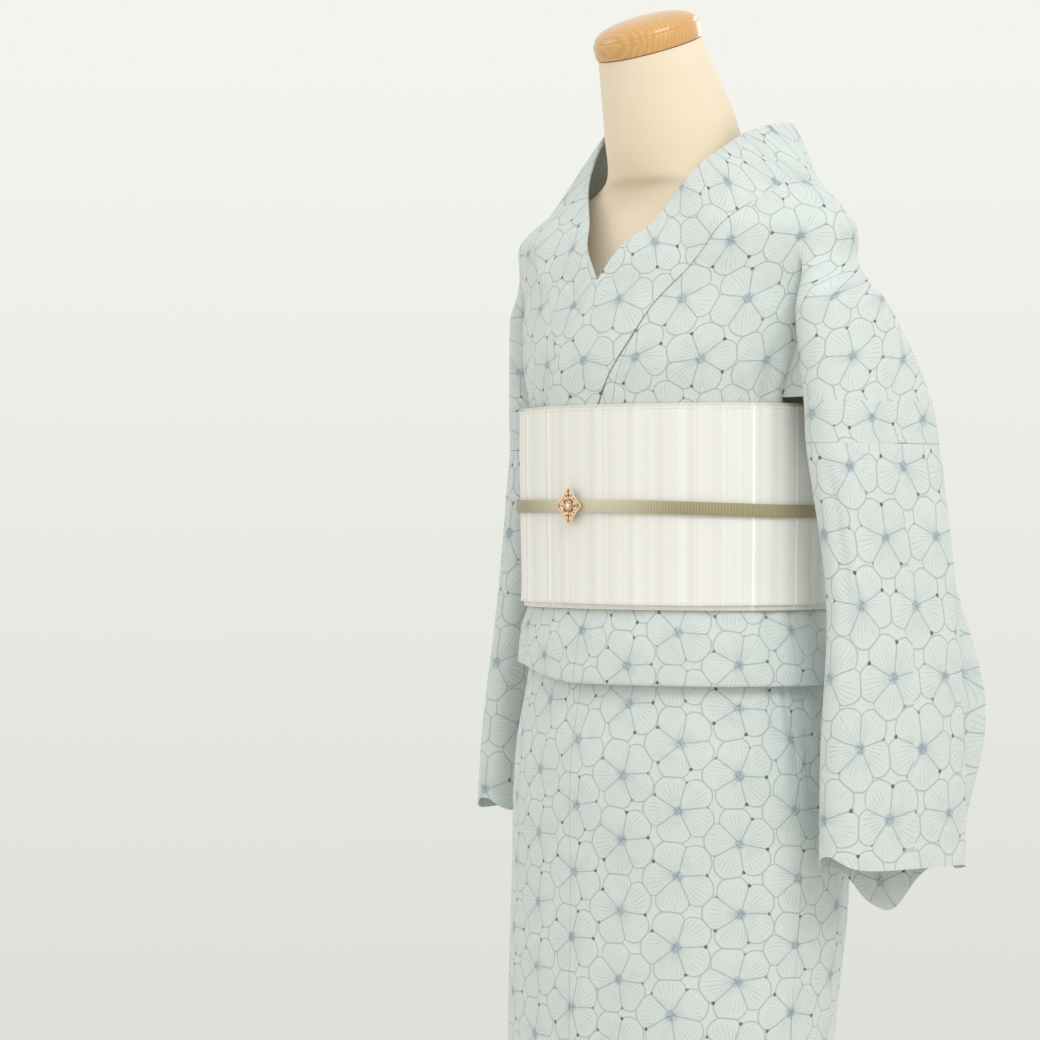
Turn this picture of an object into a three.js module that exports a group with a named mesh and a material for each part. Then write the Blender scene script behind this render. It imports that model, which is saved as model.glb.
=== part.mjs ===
// A woman's lace kimono worn on a limbless dress form, with its wide belt, flat belt cord and clasp.
// Millimetres, +Z up. The wearer faces -Y and the wearer's left is +X. The form's base stands on z = 0.
// A turn of 0 points to the wearer's left, a quarter turn to the front, half a turn to the right.
import * as THREE from "three";

// Driving heights.
const HEM_Z = 45;
const FOLD_Z = 946;
const BELT_LOW_Z = 1006;
const BELT_TOP_Z = 1160;
const TIE_Z = 1082;
const ARM_SLIT_Z = 1166;
const ARMHOLE_Z = 1130;
const NAPE_Z = 1333;
const CORD_Z = 1083;

// Cloth and clearances.
const WALL = 1.2;
const SEAM = 0.3;
const CREASE_GAP = 0.9;
const EDGE_GAP = 2;
const LAYER = 2.1;
const FOLD_IN = 7.8;
const COLLAR_WALL = 1.6;
const BELT_WALL = 2.2;

// Turns where the pieces meet.
const LEFT_SIDE = 0.16;
const RIGHT_SIDE = Math.PI;
const FREE_EDGE_TURN = 2.93;
const UNDER_EDGE_TURN = 0.42;
const ARMPIT_FRONT = 0.2;
const ARMPIT_BACK = 0.5;
const LOBE_END = { low: 2.5, high: 1.8 };

// The kimono's outer surface above the belt: half width, depth to the front and back, the middle's y, corner shape.
const CHEST = [
  { z: 1140, half: 136, front: 103, back: 102, mid: 0, shape: 2 },
  { z: 1164, half: 136.8, front: 103.6, back: 102.6, mid: 0, shape: 2 },
  { z: 1190, half: 144, front: 106, back: 106, mid: 1, shape: 2 },
  { z: 1231, half: 154, front: 99, back: 103, mid: 3, shape: 2 },
  { z: 1250, half: 159, front: 94, back: 101, mid: 4, shape: 1.9 },
  { z: 1280, half: 169, front: 86, back: 100, mid: 4, shape: 1.9 },
  { z: 1300, half: 170, front: 79, back: 93, mid: 4, shape: 1.9 },
  { z: 1320, half: 150, front: 62, back: 90, mid: 7, shape: 1.8 },
  { z: 1336, half: 126, front: 42, back: 88, mid: 11, shape: 1.8 },
];
// Under the belt and over the hips, the fold-over part.
const WAIST = [
  { z: 930, half: 147, front: 110, back: 110, mid: 0, shape: 2 },
  { z: FOLD_Z, half: 147, front: 110, back: 110, mid: 0, shape: 2 },
  { z: 985, half: 142, front: 107, back: 106, mid: 0, shape: 2 },
  { z: BELT_LOW_Z, half: 135, front: 102, back: 101, mid: 0, shape: 2 },
  { z: 1080, half: 135.5, front: 102.5, back: 101.5, mid: 0, shape: 2 },
  { z: 1164, half: 136, front: 103, back: 102, mid: 0, shape: 2 },
];
// The skirt, below the fold.
const SKIRT = [
  { z: HEM_Z, half: 137, front: 101, back: 101, mid: -12, shape: 2 },
  { z: 350, half: 142, front: 105, back: 105, mid: -12, shape: 2 },
  { z: 656, half: 147, front: 109, back: 109, mid: -10, shape: 2 },
  { z: 784, half: 151, front: 114, back: 114, mid: 0, shape: 2 },
  { z: 885, half: 148, front: 111, back: 112, mid: 0, shape: 2 },
  { z: FOLD_Z, half: 137.5, front: 100.5, back: 100.5, mid: 0, shape: 2 },
  { z: 985, half: 132, front: 97, back: 96, mid: 0, shape: 2 },
  { z: BELT_LOW_Z, half: 125.3, front: 92.3, back: 91.3, mid: 0, shape: 2 },
  { z: 1082, half: 125.8, front: 92.8, back: 91.8, mid: 0, shape: 2 },
];
// Each arm's cloth, from shoulder to sleeve hem: middle, half depth, half thickness, turn, and how far it stands off.
const ARM_LEFT = [
  { z: 820, x: 203, y: 27, deep: 67, wide: 25, turn: 0.17 },
  { z: 900, x: 204, y: 26, deep: 66, wide: 24, turn: 0.17 },
  { z: 1010, x: 202, y: 27, deep: 60, wide: 23, turn: 0.16 },
  { z: 1130, x: 189, y: 20, deep: 61, wide: 25, turn: 0.14 },
  { z: 1162, x: 186, y: 18, deep: 59, wide: 25, turn: 0.12 },
  { z: 1200, x: 179, y: 12, deep: 53, wide: 24, turn: 0.1 },
  { z: 1237, x: 172, y: 4, deep: 43, wide: 22, turn: 0.06 },
  { z: 1280, x: 163, y: -1, deep: 26, wide: 16, turn: 0 },
];
const ARM_RIGHT = [
  { z: 820, x: 201, y: 26, deep: 60, wide: 25, turn: 0.16 },
  { z: 900, x: 197, y: 28, deep: 59, wide: 24, turn: 0.16 },
  { z: 1010, x: 185, y: 32, deep: 57, wide: 22, turn: 0.15 },
  { z: 1130, x: 175, y: 36, deep: 56, wide: 21, turn: 0.12 },
  { z: 1162, x: 172, y: 32, deep: 54, wide: 21, turn: 0.1 },
  { z: 1200, x: 169, y: 24, deep: 48, wide: 20, turn: 0.1 },
  { z: 1237, x: 165, y: 14, deep: 39, wide: 19, turn: 0.06 },
  { z: 1280, x: 162, y: 2, deep: 25, wide: 15, turn: 0 },
];
// The back fold of the sleeve's spare cloth: how far it stands out behind, by height.
const SLEEVE_FOLD = [
  { z: 800, out: 10 },
  { z: 850, out: 26 },
  { z: 925, out: 42 },
  { z: 1010, out: 24 },
  { z: 1080, out: 5 },
  { z: 1130, out: 0 },
];
const SLEEVE_HEM_Z = 809;
const SLEEVE_TIP_DROP = 37;
const RIGHT_SLEEVE_LIFT = 20;

// The seam between the front and its overlap panel, below the point where that panel starts.
const OVERLAP_SEAM = [
  { z: HEM_Z, x: 2 },
  { z: 656, x: -1 },
  { z: FOLD_Z, x: -6 },
  { z: 1060, x: 18 },
  { z: 1163, x: 48 },
  { z: 1224, x: 48.4 },
];
const OVERLAP_POINT_Z = 1221;
// The collar band from the nape to the belt: its standing edge on the left and right half, and its sewn edge.
const COLLAR = [
  { ix: 0, iy: 90, iz: 1388, jx: 0, jy: 90, jz: 1388, ox: 0, oz: 1337 },
  { ix: 33, iy: 90, iz: 1390, jx: 33, jy: 90, jz: 1391, ox: 36, oz: 1337 },
  { ix: 58, iy: 74, iz: 1390, jx: 60, jy: 74, jz: 1393, ox: 68, oz: 1337.5 },
  { ix: 71, iy: 46, iz: 1387, jx: 74, jy: 46, jz: 1395, ox: 98, oz: 1338 },
  { ix: 67, iy: 16, iz: 1380, jx: 76, jy: 16, jz: 1396, ox: 119.5, oz: 1338 },
  { ix: 61, iy: -12, iz: 1364, jx: 70, jy: -10, jz: 1387, ox: 118.5, oz: 1325 },
  { ix: 53, iy: -36, iz: 1345, jx: 65, jy: -35, jz: 1347, ox: 109, oz: 1310 },
  { ix: 33, iy: -60, iz: 1306, jx: 40, jy: -60, jz: 1309, ox: 86, oz: 1271 },
  { ix: 8, iy: -84, iz: 1274, jx: 14, jy: -85, jz: 1272, ox: 62, oz: 1244 },
  { ix: -14, iy: -98, iz: 1235, jx: -14, jy: -98, jz: 1235, ox: 42, oz: 1210 },
  { ix: -42, iy: -102, iz: 1175, jx: -42, jy: -102, jz: 1175, ox: 15, oz: 1163 },
  { ix: -62, iy: -94, iz: 1118, jx: -62, jy: -94, jz: 1118, ox: -8, oz: 1106 },
];
// Where the collar is sewn to the fronts: half width from the middle, by height.
const COLLAR_SEAM = COLLAR.slice(4)
  .map((row) => ({ z: row.oz, x: row.ox }))
  .reverse();
// The dress form: smooth rings, with the neck leaning forward.
const FORM = [
  { z: 770, half: 116, front: 82, back: 84, mid: 0, shape: 2.2, lean: 0 },
  { z: 850, half: 127, front: 92, back: 94, mid: 0, shape: 2.1, lean: 0 },
  { z: 940, half: 122, front: 86, back: 88, mid: 0, shape: 2, lean: 0 },
  { z: 1040, half: 110, front: 78, back: 76, mid: 0, shape: 2, lean: 0 },
  { z: 1150, half: 118, front: 87, back: 82, mid: 0, shape: 2, lean: 0 },
  { z: 1220, half: 132, front: 86, back: 88, mid: 2, shape: 1.9, lean: 0 },
  { z: 1262, half: 141, front: 72, back: 80, mid: 7, shape: 1.7, lean: 0 },
  { z: 1290, half: 154, front: 62, back: 72, mid: 8, shape: 1.6, lean: 0 },
  { z: 1318, half: 149.2, front: 52, back: 66, mid: 8, shape: 1.7, lean: 0 },
  { z: 1334, half: 92, front: 50, back: 56, mid: 6, shape: 1.8, lean: 0 },
  { z: 1352, half: 61, front: 54, back: 54, mid: 2, shape: 2, lean: 0.16 },
  { z: 1388, half: 52, front: 53, back: 53, mid: -9, shape: 2, lean: 0.28 },
  { z: 1446, half: 42, front: 42, back: 42, mid: -31, shape: 2, lean: 0.35 },
];
const CAP = { radius: 43.5, rim: 13, dome: 13, lean: 0.35, seat: { y: -31, z: 1446 } };
const BASE = { radius: 172, height: 24, edge: 5 };
const POLE_RADIUS = 15;
const CLASP = { half: 10.4, tall: 14, thick: 3.4, x: -5 };
const CORD = { tall: 10, thick: 2.6, sag: 4.5 };
const TAIL = { half: 76, low: 992, top: 1164, gap: 1.2 };

// A smooth value from a table whose rows rise in z.
function at(table, z, name) {
  const last = table.length - 1;
  if (z <= table[0].z) return table[0][name];
  if (z >= table[last].z) return table[last][name];
  const i = table.findIndex((row) => row.z > z) - 1;
  const [a, b] = [table[i], table[i + 1]];
  const before = table[Math.max(i - 1, 0)];
  const after = table[Math.min(i + 2, last)];
  const step = b.z - a.z;
  const slopeA = ((b[name] - before[name]) / (b.z - before.z)) * step;
  const slopeB = ((after[name] - a[name]) / (after.z - a.z)) * step;
  const t = (z - a.z) / step;
  const rise = t * t * (3 - 2 * t);
  return a[name] * (1 - rise) + b[name] * rise + t * (1 - t) * ((1 - t) * slopeA - t * slopeB);
}
const mix = (a, b, t) => a + (b - a) * t;
const clamp01 = (t) => Math.min(Math.max(t, 0), 1);
const ease = (from, to, value) => {
  const t = clamp01((value - from) / (to - from));
  return t * t * (3 - 2 * t);
};
const power = (value, exponent) => Math.sign(value) * Math.abs(value) ** exponent;
const spread = (from, to, count) => Array.from({ length: count + 1 }, (_, i) => mix(from, to, i / count));

// A point of a table's ring at a turn and height, moved out by a distance.
function ring(table, turn, z, out = 0) {
  const e = 2 / at(table, z, "shape");
  const [c, s] = [power(Math.cos(turn), e), power(Math.sin(turn), e)];
  const depth = s > 0 ? at(table, z, "front") : at(table, z, "back");
  return new THREE.Vector3(
    (at(table, z, "half") + out) * c,
    at(table, z, "mid") - (depth + out) * s,
    z,
  );
}
// The turn at which a ring's front has this x.
function turnAtX(table, x, z) {
  const e = 2 / at(table, z, "shape");
  return Math.acos(power(x / at(table, z, "half"), 1 / e));
}
const TABLES = { chest: CHEST, waist: WAIST, skirt: SKIRT };

// A point of one arm's cloth: angle 0 is the outer side, a quarter turn back is its back edge.
function arm(side, angle, z, extra = 0) {
  const table = side > 0 ? ARM_LEFT : ARM_RIGHT;
  const turn = at(table, z, "turn");
  const out = at(table, z, "wide") * power(Math.cos(angle), 0.8);
  const back = at(table, z, "deep") * power(Math.sin(angle), 0.8) + extra;
  const x = at(table, z, "x") + out * Math.cos(turn) + back * Math.sin(turn);
  const y = at(table, z, "y") - out * Math.sin(turn) + back * Math.cos(turn);
  return new THREE.Vector3(side * x, y, z);
}
// The turn at which the body's cloth ends and the arm's begins; it opens out towards the shoulder line.
function armpit(isFront, z) {
  if (!isFront) return ARMPIT_BACK;
  const collarTurn = turnAtX(CHEST, at(COLLAR_SEAM, z, "x") + EDGE_GAP, z);
  return Math.min(mix(ARMPIT_FRONT, ARMPIT_BACK, ease(1236, 1300, z)), 0.7 * collarTurn);
}
// The arm's cloth where it grows out of the shoulder: share 1 is the armpit, 0 the outer side.
function shoulder(side, share, isFront, z) {
  const corner = 2 / at(CHEST, z, "shape");
  const turn = (isFront ? 1 : -1) * Math.asin(Math.sin(armpit(isFront, z)) * share ** (1 / corner));
  const smooth = ring(CHEST, side > 0 ? turn : Math.PI - turn, z);
  const end = mix(LOBE_END.low, LOBE_END.high, ease(1190, 1275, z));
  const lobed = arm(side, (isFront ? -1 : 1) * end * share, z);
  return smooth.lerp(lobed, 1 - ease(1236, 1300, z));
}

// A wall from a grid of points: cells that are left out make its outline, and it is thickened inwards.
// Where only part of a cloth is kept, whole says which cells it has, so that its parts lean alike where they meet.
function wall(points, keep, thick, { closed = false, mitre = () => null, whole = keep } = {}) {
  const rows = points.length;
  const cols = points[0].length;
  const wide = closed ? cols : cols - 1;
  const cells = [];
  for (let i = 0; i < rows - 1; i++)
    for (let j = 0; j < wide; j++) if (whole(i, j)) cells.push([i, j, i + 1, (j + 1) % cols]);
  const normals = points.map((line) => line.map(() => new THREE.Vector3()));
  const corners = ([i, j, k, l]) => [[i, j], [k, j], [k, l], [i, l]];
  for (const face of cells.map(corners)) {
    const [a, b, c, d] = face.map(([i, j]) => points[i][j]);
    const normal = new THREE.Vector3().subVectors(c, a).cross(new THREE.Vector3().subVectors(d, b));
    for (const [i, j] of face) normals[i][j].add(normal);
  }
  const faces = cells.filter(([i, j]) => keep(i, j)).map(corners);
  // Two walls meet flush along a seam when neither leans across it.
  normals.forEach((line, i) =>
    line.forEach((normal, j) => {
      const axis = mitre(i, j);
      if (axis) normal[axis] = 0;
    }),
  );
  const positions = [];
  const number = new Map();
  const vertex = (i, j, inner) => {
    const key = (i * cols + j) * 2 + (inner ? 1 : 0);
    if (!number.has(key)) {
      number.set(key, positions.length / 3);
      const p = points[i][j].clone();
      if (inner) p.addScaledVector(normals[i][j].clone().normalize(), -thick);
      positions.push(p.x, p.y, p.z);
    }
    return number.get(key);
  };
  const index = [];
  const quad = (a, b, c, d) => index.push(a, b, c, a, c, d);
  const edges = new Map();
  for (const face of faces) {
    quad(...face.map(([i, j]) => vertex(i, j, false)));
    quad(...face.map(([i, j]) => vertex(i, j, true)).reverse());
    face.forEach((from, n) => {
      const to = face[(n + 1) % 4];
      const back = to.join() + ">" + from.join();
      if (edges.has(back)) edges.delete(back);
      else edges.set(from.join() + ">" + to.join(), [from, to]);
    });
  }
  for (const [from, to] of edges.values())
    quad(vertex(...to, false), vertex(...from, false), vertex(...from, true), vertex(...to, true));
  const geometry = new THREE.BufferGeometry();
  geometry.setAttribute("position", new THREE.Float32BufferAttribute(positions, 3));
  geometry.setIndex(index);
  return geometry;
}
const all = () => true;

// A closed body through rings of points, with flat ends.
function loft(rings) {
  const cols = rings[0].length;
  const positions = rings.flat().flatMap((p) => [p.x, p.y, p.z]);
  const index = [];
  for (let i = 0; i < rings.length - 1; i++)
    for (let j = 0; j < cols; j++) {
      const [a, b] = [i * cols + j, i * cols + ((j + 1) % cols)];
      index.push(a, b + cols, a + cols, a, b, b + cols);
    }
  const top = (rings.length - 1) * cols;
  for (let j = 1; j < cols - 1; j++) index.push(0, j + 1, j, top, top + j, top + j + 1);
  const geometry = new THREE.BufferGeometry();
  geometry.setAttribute("position", new THREE.Float32BufferAttribute(positions, 3));
  geometry.setIndex(index);
  return geometry;
}

const kimono = new THREE.Group();
function piece(name, geometry, colour, roughness = 0.9, metalness = 0) {
  const material = new THREE.MeshStandardMaterial({ color: colour, roughness, metalness });
  const mesh = new THREE.Mesh(geometry, material);
  mesh.name = name;
  kimono.add(mesh);
}
const LACE = 0xd3dfde;
const BELT_CLOTH = 0xefece4;

// The way down a body panel: over the chest, under the belt, round the fold and down to the hem.
// On the way, turned is the share of the way to the fold's inner layer, and nest lifts an under layer's folds.
const CHEST_ROWS = [1334, 1326, 1313, 1298, 1280, 1260, 1238, 1214, 1190, ARM_SLIT_Z];
const LOWER_ROWS = [
  { z: 1140, table: "waist", turned: 0, nest: 0 },
  { z: 1103, table: "waist", turned: 0, nest: 0 },
  { z: 1094, table: "waist", turned: 0, nest: 0 },
  { z: 1050, table: "waist", turned: 0, nest: 0 },
  { z: BELT_LOW_Z, table: "waist", turned: 0, nest: 0 },
  { z: 978, table: "waist", turned: 0, nest: 0 },
  { z: FOLD_Z + 1.5, table: "waist", turned: 0, nest: 1 },
  { z: FOLD_Z - 1, table: "waist", turned: 0.16, nest: 1 },
  { z: FOLD_Z - 1, table: "waist", turned: 0.84, nest: 1 },
  { z: FOLD_Z + 1.5, table: "waist", turned: 1, nest: 1 },
  { z: 978, table: "waist", turned: 1, nest: 0 },
  { z: BELT_LOW_Z, table: "waist", turned: 1, nest: 0 },
  { z: TIE_Z, table: "waist", turned: 1, nest: 1.1 },
  { z: TIE_Z, table: "skirt", turned: 0, nest: 1.1 },
  { z: BELT_LOW_Z, table: "skirt", turned: 0, nest: 0 },
  { z: 978, table: "skirt", turned: 0, nest: 0 },
  { z: FOLD_Z, table: "skirt", turned: 0, nest: 0 },
  { z: 900, table: "skirt", turned: 0, nest: 0 },
  { z: 850, table: "skirt", turned: 0, nest: 0 },
  { z: 784, table: "skirt", turned: 0, nest: 0 },
  { z: 656, table: "skirt", turned: 0, nest: 0 },
  { z: 350, table: "skirt", turned: 0, nest: 0 },
  { z: HEM_Z, table: "skirt", turned: 0, nest: 0 },
];
const SLIT_ROW = CHEST_ROWS.length - 1;
const ARM_ROWS = [1148, ARMHOLE_Z + SEAM / 2];

// Gathers in the skirt below the fold, at the wearer's sides: turn, width, depth and reach down.
const GATHERS = [
  { turn: 0.2, width: 0.045, depth: 4, reach: 110 },
  { turn: 0.05, width: 0.04, depth: 5, reach: 150 },
  { turn: -0.12, width: 0.05, depth: 4.5, reach: 130 },
  { turn: -0.32, width: 0.05, depth: 3.5, reach: 100 },
  { turn: 3.0, width: 0.05, depth: 3.5, reach: 110 },
  { turn: 3.2, width: 0.045, depth: 4.5, reach: 140 },
  { turn: 3.42, width: 0.05, depth: 3.5, reach: 100 },
];
function gather(turn, z) {
  let depth = 0;
  for (const fold of GATHERS) {
    const off = Math.atan2(Math.sin(turn - fold.turn), Math.cos(turn - fold.turn));
    const fade = 1 - ease(0, fold.reach, FOLD_Z - z);
    depth += fold.depth * Math.exp(-((off / fold.width) ** 2)) * fade;
  }
  return -depth;
}

// A point of a lower panel on one row; under is 1 for a layer that lies beneath another.
function lowerPoint(row, turn, under) {
  const drape = row.table === "skirt" && row.z <= FOLD_Z ? gather(turn, row.z) : 0;
  const deep = row.table === "skirt" ? LAYER * under : mix(LAYER * under, FOLD_IN - LAYER * under, row.turned);
  const z = row.z + row.nest * LAYER * under;
  return ring(TABLES[row.table], turn, z, drape - deep);
}
// The overlap's seam on a row: it leans only on the outer layer.
const seamX = (row) =>
  at(OVERLAP_SEAM, row.table === "waist" && row.turned < 0.5 ? row.z : Math.min(row.z, FOLD_Z), "x");
// The right front lies under the left one, up to its side seam and up to where the collars cross.
const underSide = (turn) => ease(0.05, 0.16, RIGHT_SIDE - turn);
const underChest = (z) => 1 - ease(1240, 1290, z);

// A panel's wall: the right side is the left one's grid turned round, so that it still faces out.
function mirrored(points, side, keep, mitre = () => null, whole = keep) {
  if (side > 0) return wall(points, keep, WALL, { mitre, whole });
  const width = points[0].length;
  points.forEach((line) => line.reverse());
  const turned = (cells) => (i, j) => cells(i, width - 2 - j);
  return wall(points, turned(keep), WALL, {
    mitre: (i, j) => mitre(i, width - 1 - j),
    whole: turned(whole),
  });
}
// The drop shoulder is a piece of its own, parted from its panel at the bottom of the armpit's crease.
function partAt(points, column, next) {
  for (const line of points) line[column].lerp(line[next], CREASE_GAP / line[column].distanceTo(line[next]));
}

// A front: columns run from the inner edge to the armpit, then out round the arm. It gives the panel or its shoulder.
function frontPanel(side, isShoulder) {
  const bodyCols = 9;
  const armCols = 7;
  const sideTurn = side > 0 ? LEFT_SIDE : RIGHT_SIDE;
  const chestUnder = (turn, z) => (side > 0 ? 0 : underChest(z) * ease(0.25, 0.6, RIGHT_SIDE - turn));
  const points = CHEST_ROWS.map((z) => {
    const edgeX = Math.max(at(COLLAR_SEAM, z, "x"), z < OVERLAP_POINT_Z ? at(OVERLAP_SEAM, z, "x") : 0);
    const edge = turnAtX(CHEST, side * (edgeX + EDGE_GAP), z);
    const pit = armpit(true, z);
    const body = spread(edge, side > 0 ? pit : Math.PI - pit, bodyCols).map((turn) =>
      ring(CHEST, turn, z, -LAYER * chestUnder(turn, z)),
    );
    const sleeve = spread(1, 0, armCols).map((share) => shoulder(side, share, true, z));
    sleeve[armCols].y -= SEAM / 2;
    return [...body, ...sleeve];
  });
  LOWER_ROWS.forEach((row, n) => {
    const table = TABLES[row.table];
    const edgeX = seamX(row) + SEAM / 2;
    const edge = turnAtX(table, side > 0 ? edgeX : -edgeX, row.z);
    const gap = (side * SEAM) / 2 / at(table, row.z, "front");
    const body = spread(edge, sideTurn + gap, bodyCols).map((turn) =>
      lowerPoint(row, turn, side > 0 ? 0 : underSide(turn)),
    );
    const armZ = ARM_ROWS[Math.min(n, ARM_ROWS.length - 1)];
    const sleeve = spread(1, 0, armCols).map((share) => shoulder(side, share, true, armZ));
    sleeve[armCols].y -= SEAM / 2;
    points.push([...body, ...sleeve]);
  });
  const keep = (i, j) => {
    if (j < bodyCols) return true;
    if (j === bodyCols) return i < SLIT_ROW;
    return i < SLIT_ROW + ARM_ROWS.length;
  };
  const mitre = (i, j) => (j === bodyCols + armCols + 1 || (j === bodyCols && i > SLIT_ROW) ? "y" : null);
  if (isShoulder) partAt(points, bodyCols + 1, bodyCols + 2);
  return mirrored(points, side, (i, j) => keep(i, j) && j > bodyCols === isShoulder, mitre, keep);
}

// A back: columns run from the arm in to the armpit, then to the middle of the back. It gives the panel or its shoulder.
function backPanel(side, isShoulder) {
  const bodyCols = 9;
  const armCols = 7;
  const turnOf = (turn) => (side > 0 ? turn : Math.PI - turn);
  const middle = -Math.PI / 2 + SEAM / 2 / 100;
  const rows = [NAPE_Z, ...CHEST_ROWS.slice(1)];
  const points = rows.map((z) => {
    const sleeve = spread(0, 1, armCols).map((share) => shoulder(side, share, false, z));
    sleeve[0].y += SEAM / 2;
    const body = spread(-ARMPIT_BACK, middle, bodyCols).map((turn) => ring(CHEST, turnOf(turn), z));
    return [...sleeve, ...body];
  });
  const sideTurn = side > 0 ? LEFT_SIDE : 0;
  LOWER_ROWS.forEach((row, n) => {
    const armZ = ARM_ROWS[Math.min(n, ARM_ROWS.length - 1)];
    const sleeve = spread(0, 1, armCols).map((share) => shoulder(side, share, false, armZ));
    sleeve[0].y += SEAM / 2;
    const gap = SEAM / 2 / at(TABLES[row.table], row.z, "front");
    const body = spread(sideTurn - gap, middle, bodyCols).map((turn) => lowerPoint(row, turnOf(turn), 0));
    points.push([...sleeve, ...body]);
  });
  const keep = (i, j) => {
    if (j > armCols) return true;
    if (j === armCols) return i < SLIT_ROW;
    return i < SLIT_ROW + ARM_ROWS.length;
  };
  const mitre = (i, j) => {
    if (j === 0 || (j === armCols + 1 && i > SLIT_ROW)) return "y";
    return j === bodyCols + armCols + 1 ? "x" : null;
  };
  if (isShoulder) partAt(points, armCols, armCols - 1);
  return mirrored(points, side, (i, j) => keep(i, j) && j < armCols === isShoulder, mitre, keep);
}

// An overlap panel, from its point beside the collar to the hem; the left one lies outside.
function overlapPanel(side) {
  const [wideCols, besideCols] = [7, 2];
  const farTurn = side > 0 ? FREE_EDGE_TURN : UNDER_EDGE_TURN;
  const under = side > 0 ? 0 : 1;
  const turns = (table, z, besideX, seam) => {
    const beside = turnAtX(table, side * besideX, z);
    const outer = turnAtX(table, side * seam, z);
    return [...spread(farTurn, beside, wideCols).slice(0, wideCols), ...spread(beside, outer, besideCols)];
  };
  const points = [OVERLAP_POINT_Z - 7, 1190, ARM_SLIT_Z].map((z) => {
    const line = turns(CHEST, z, at(COLLAR_SEAM, z, "x") + EDGE_GAP, at(OVERLAP_SEAM, z, "x") - SEAM);
    return line.map((turn) => ring(CHEST, turn, z, -LAYER * under));
  });
  for (const row of LOWER_ROWS) {
    const besideX = row.z > 1100 ? at(COLLAR_SEAM, row.z, "x") + EDGE_GAP : seamX(row) - 17;
    const line = turns(TABLES[row.table], row.z, besideX, seamX(row) - SEAM / 2);
    points.push(line.map((turn) => lowerPoint(row, turn, under)));
  }
  return mirrored(points, side, (i, j) => j >= wideCols || i >= 5);
}

// The collar is one band from end to end: station 0 is the nape, and both halves run down the front.
function collarBand() {
  const steps = 3;
  const cols = 4;
  const rows = COLLAR.map((row, n) => ({ ...row, z: n }));
  const half = spread(0, COLLAR.length - 1, (COLLAR.length - 1) * steps);
  const line = (station, side) => {
    const value = (name) => at(rows, station, name);
    const oz = value("oz");
    const table = oz < 1150 ? WAIST : CHEST;
    const rest = Math.min(oz, NAPE_Z + 1);
    const turn = turnAtX(table, value("ox"), rest) * (station < 4.4 ? -1 : 1);
    const under = side < 0 ? underChest(oz) : 0;
    const over = 0.5 - 2.4 * under;
    const sewn = ring(table, turn, rest, over);
    sewn.z = oz;
    const edge = side > 0 ? "i" : "j";
    const stand = new THREE.Vector3(value(edge + "x"), value(edge + "y"), value(edge + "z"));
    const laid = ease(7, 8, station);
    return spread(0, 1, cols).map((t) => {
      const p = stand.clone().lerp(sewn, t);
      const level = Math.min(p.z, NAPE_Z);
      const from = new THREE.Vector3(p.x, p.y - at(CHEST, level, "mid"), 0);
      p.addScaledVector(from.normalize(), 4 * t * (1 - t) * mix(5, 2.5, ease(2, 5, station)));
      const [x, z] = [mix(value(edge + "x"), value("ox"), t), mix(value(edge + "z"), oz, t)];
      const on = z < 1150 ? WAIST : CHEST;
      if (laid > 0) p.lerp(ring(on, turnAtX(on, x, z), z, over), laid);
      p.x *= side;
      return p;
    });
  };
  const left = half.map((station) => line(station, 1));
  const right = half.slice(1).map((station) => line(station, -1));
  return wall([...right.reverse(), ...left], all, COLLAR_WALL);
}

// A sleeve hangs as a flattened tube with its spare cloth folded behind, and its hem drops to a rounded tip.
function sleeve(side) {
  const cols = 28;
  const rows = 8;
  const lift = side > 0 ? 0 : RIGHT_SLEEVE_LIFT;
  const bump = (angle, middle, width) => {
    const off = Math.atan2(Math.sin(angle - middle), Math.cos(angle - middle));
    return Math.exp(-((off / width) ** 2));
  };
  const points = spread(0, 1, rows).map((down) =>
    spread(0, 2 * Math.PI, cols)
      .slice(0, cols)
      .map((angle) => {
        const tip = SLEEVE_TIP_DROP * bump(angle, Math.PI - 0.15, 0.38) + 5 * bump(angle, Math.PI / 2, 0.5);
        const rounded = 11 * bump(angle, 0.1 - Math.PI / 2, 0.5);
        const hem = SLEEVE_HEM_Z + lift + rounded - tip;
        const z = mix(ARMHOLE_Z - SEAM / 2, hem, down);
        const spare = at(SLEEVE_FOLD, Math.max(z - lift, 800), "out");
        const p = arm(side, angle, Math.max(z, 800), 0);
        const behind = spare * (bump(angle, 2.2, 0.34) - 0.35 * bump(angle, 1.55, 0.22));
        p.z = z;
        p.x += 0.35 * side * behind;
        p.y += behind;
        return p;
      }),
  );
  if (side < 0) points.forEach((line) => line.reverse());
  return wall(points, all, WALL, { closed: true });
}

// A band of cloth round the waist, between two heights.
function band(out, low, high, thick, rows = 1) {
  const cols = 56;
  const points = spread(high, low, rows).map((z) =>
    spread(0, 2 * Math.PI, cols)
      .slice(0, cols)
      .map((turn) => {
        const p = ring(WAIST, turn, Math.max(z, BELT_LOW_Z), out);
        p.z = z;
        return p;
      }),
  );
  points.forEach((line) => line.reverse());
  return wall(points, all, thick, { closed: true });
}
const BELT_IN = 3.7;
const BELT_OUT = BELT_IN + BELT_WALL + 2 * SEAM;
const CORD_OUT = BELT_OUT + 2 * SEAM + CORD.thick;
const TAIL_IN = BELT_OUT + SEAM;
const TAIL_OUT = TAIL_IN + TAIL.gap + 2 * BELT_WALL;

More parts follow.
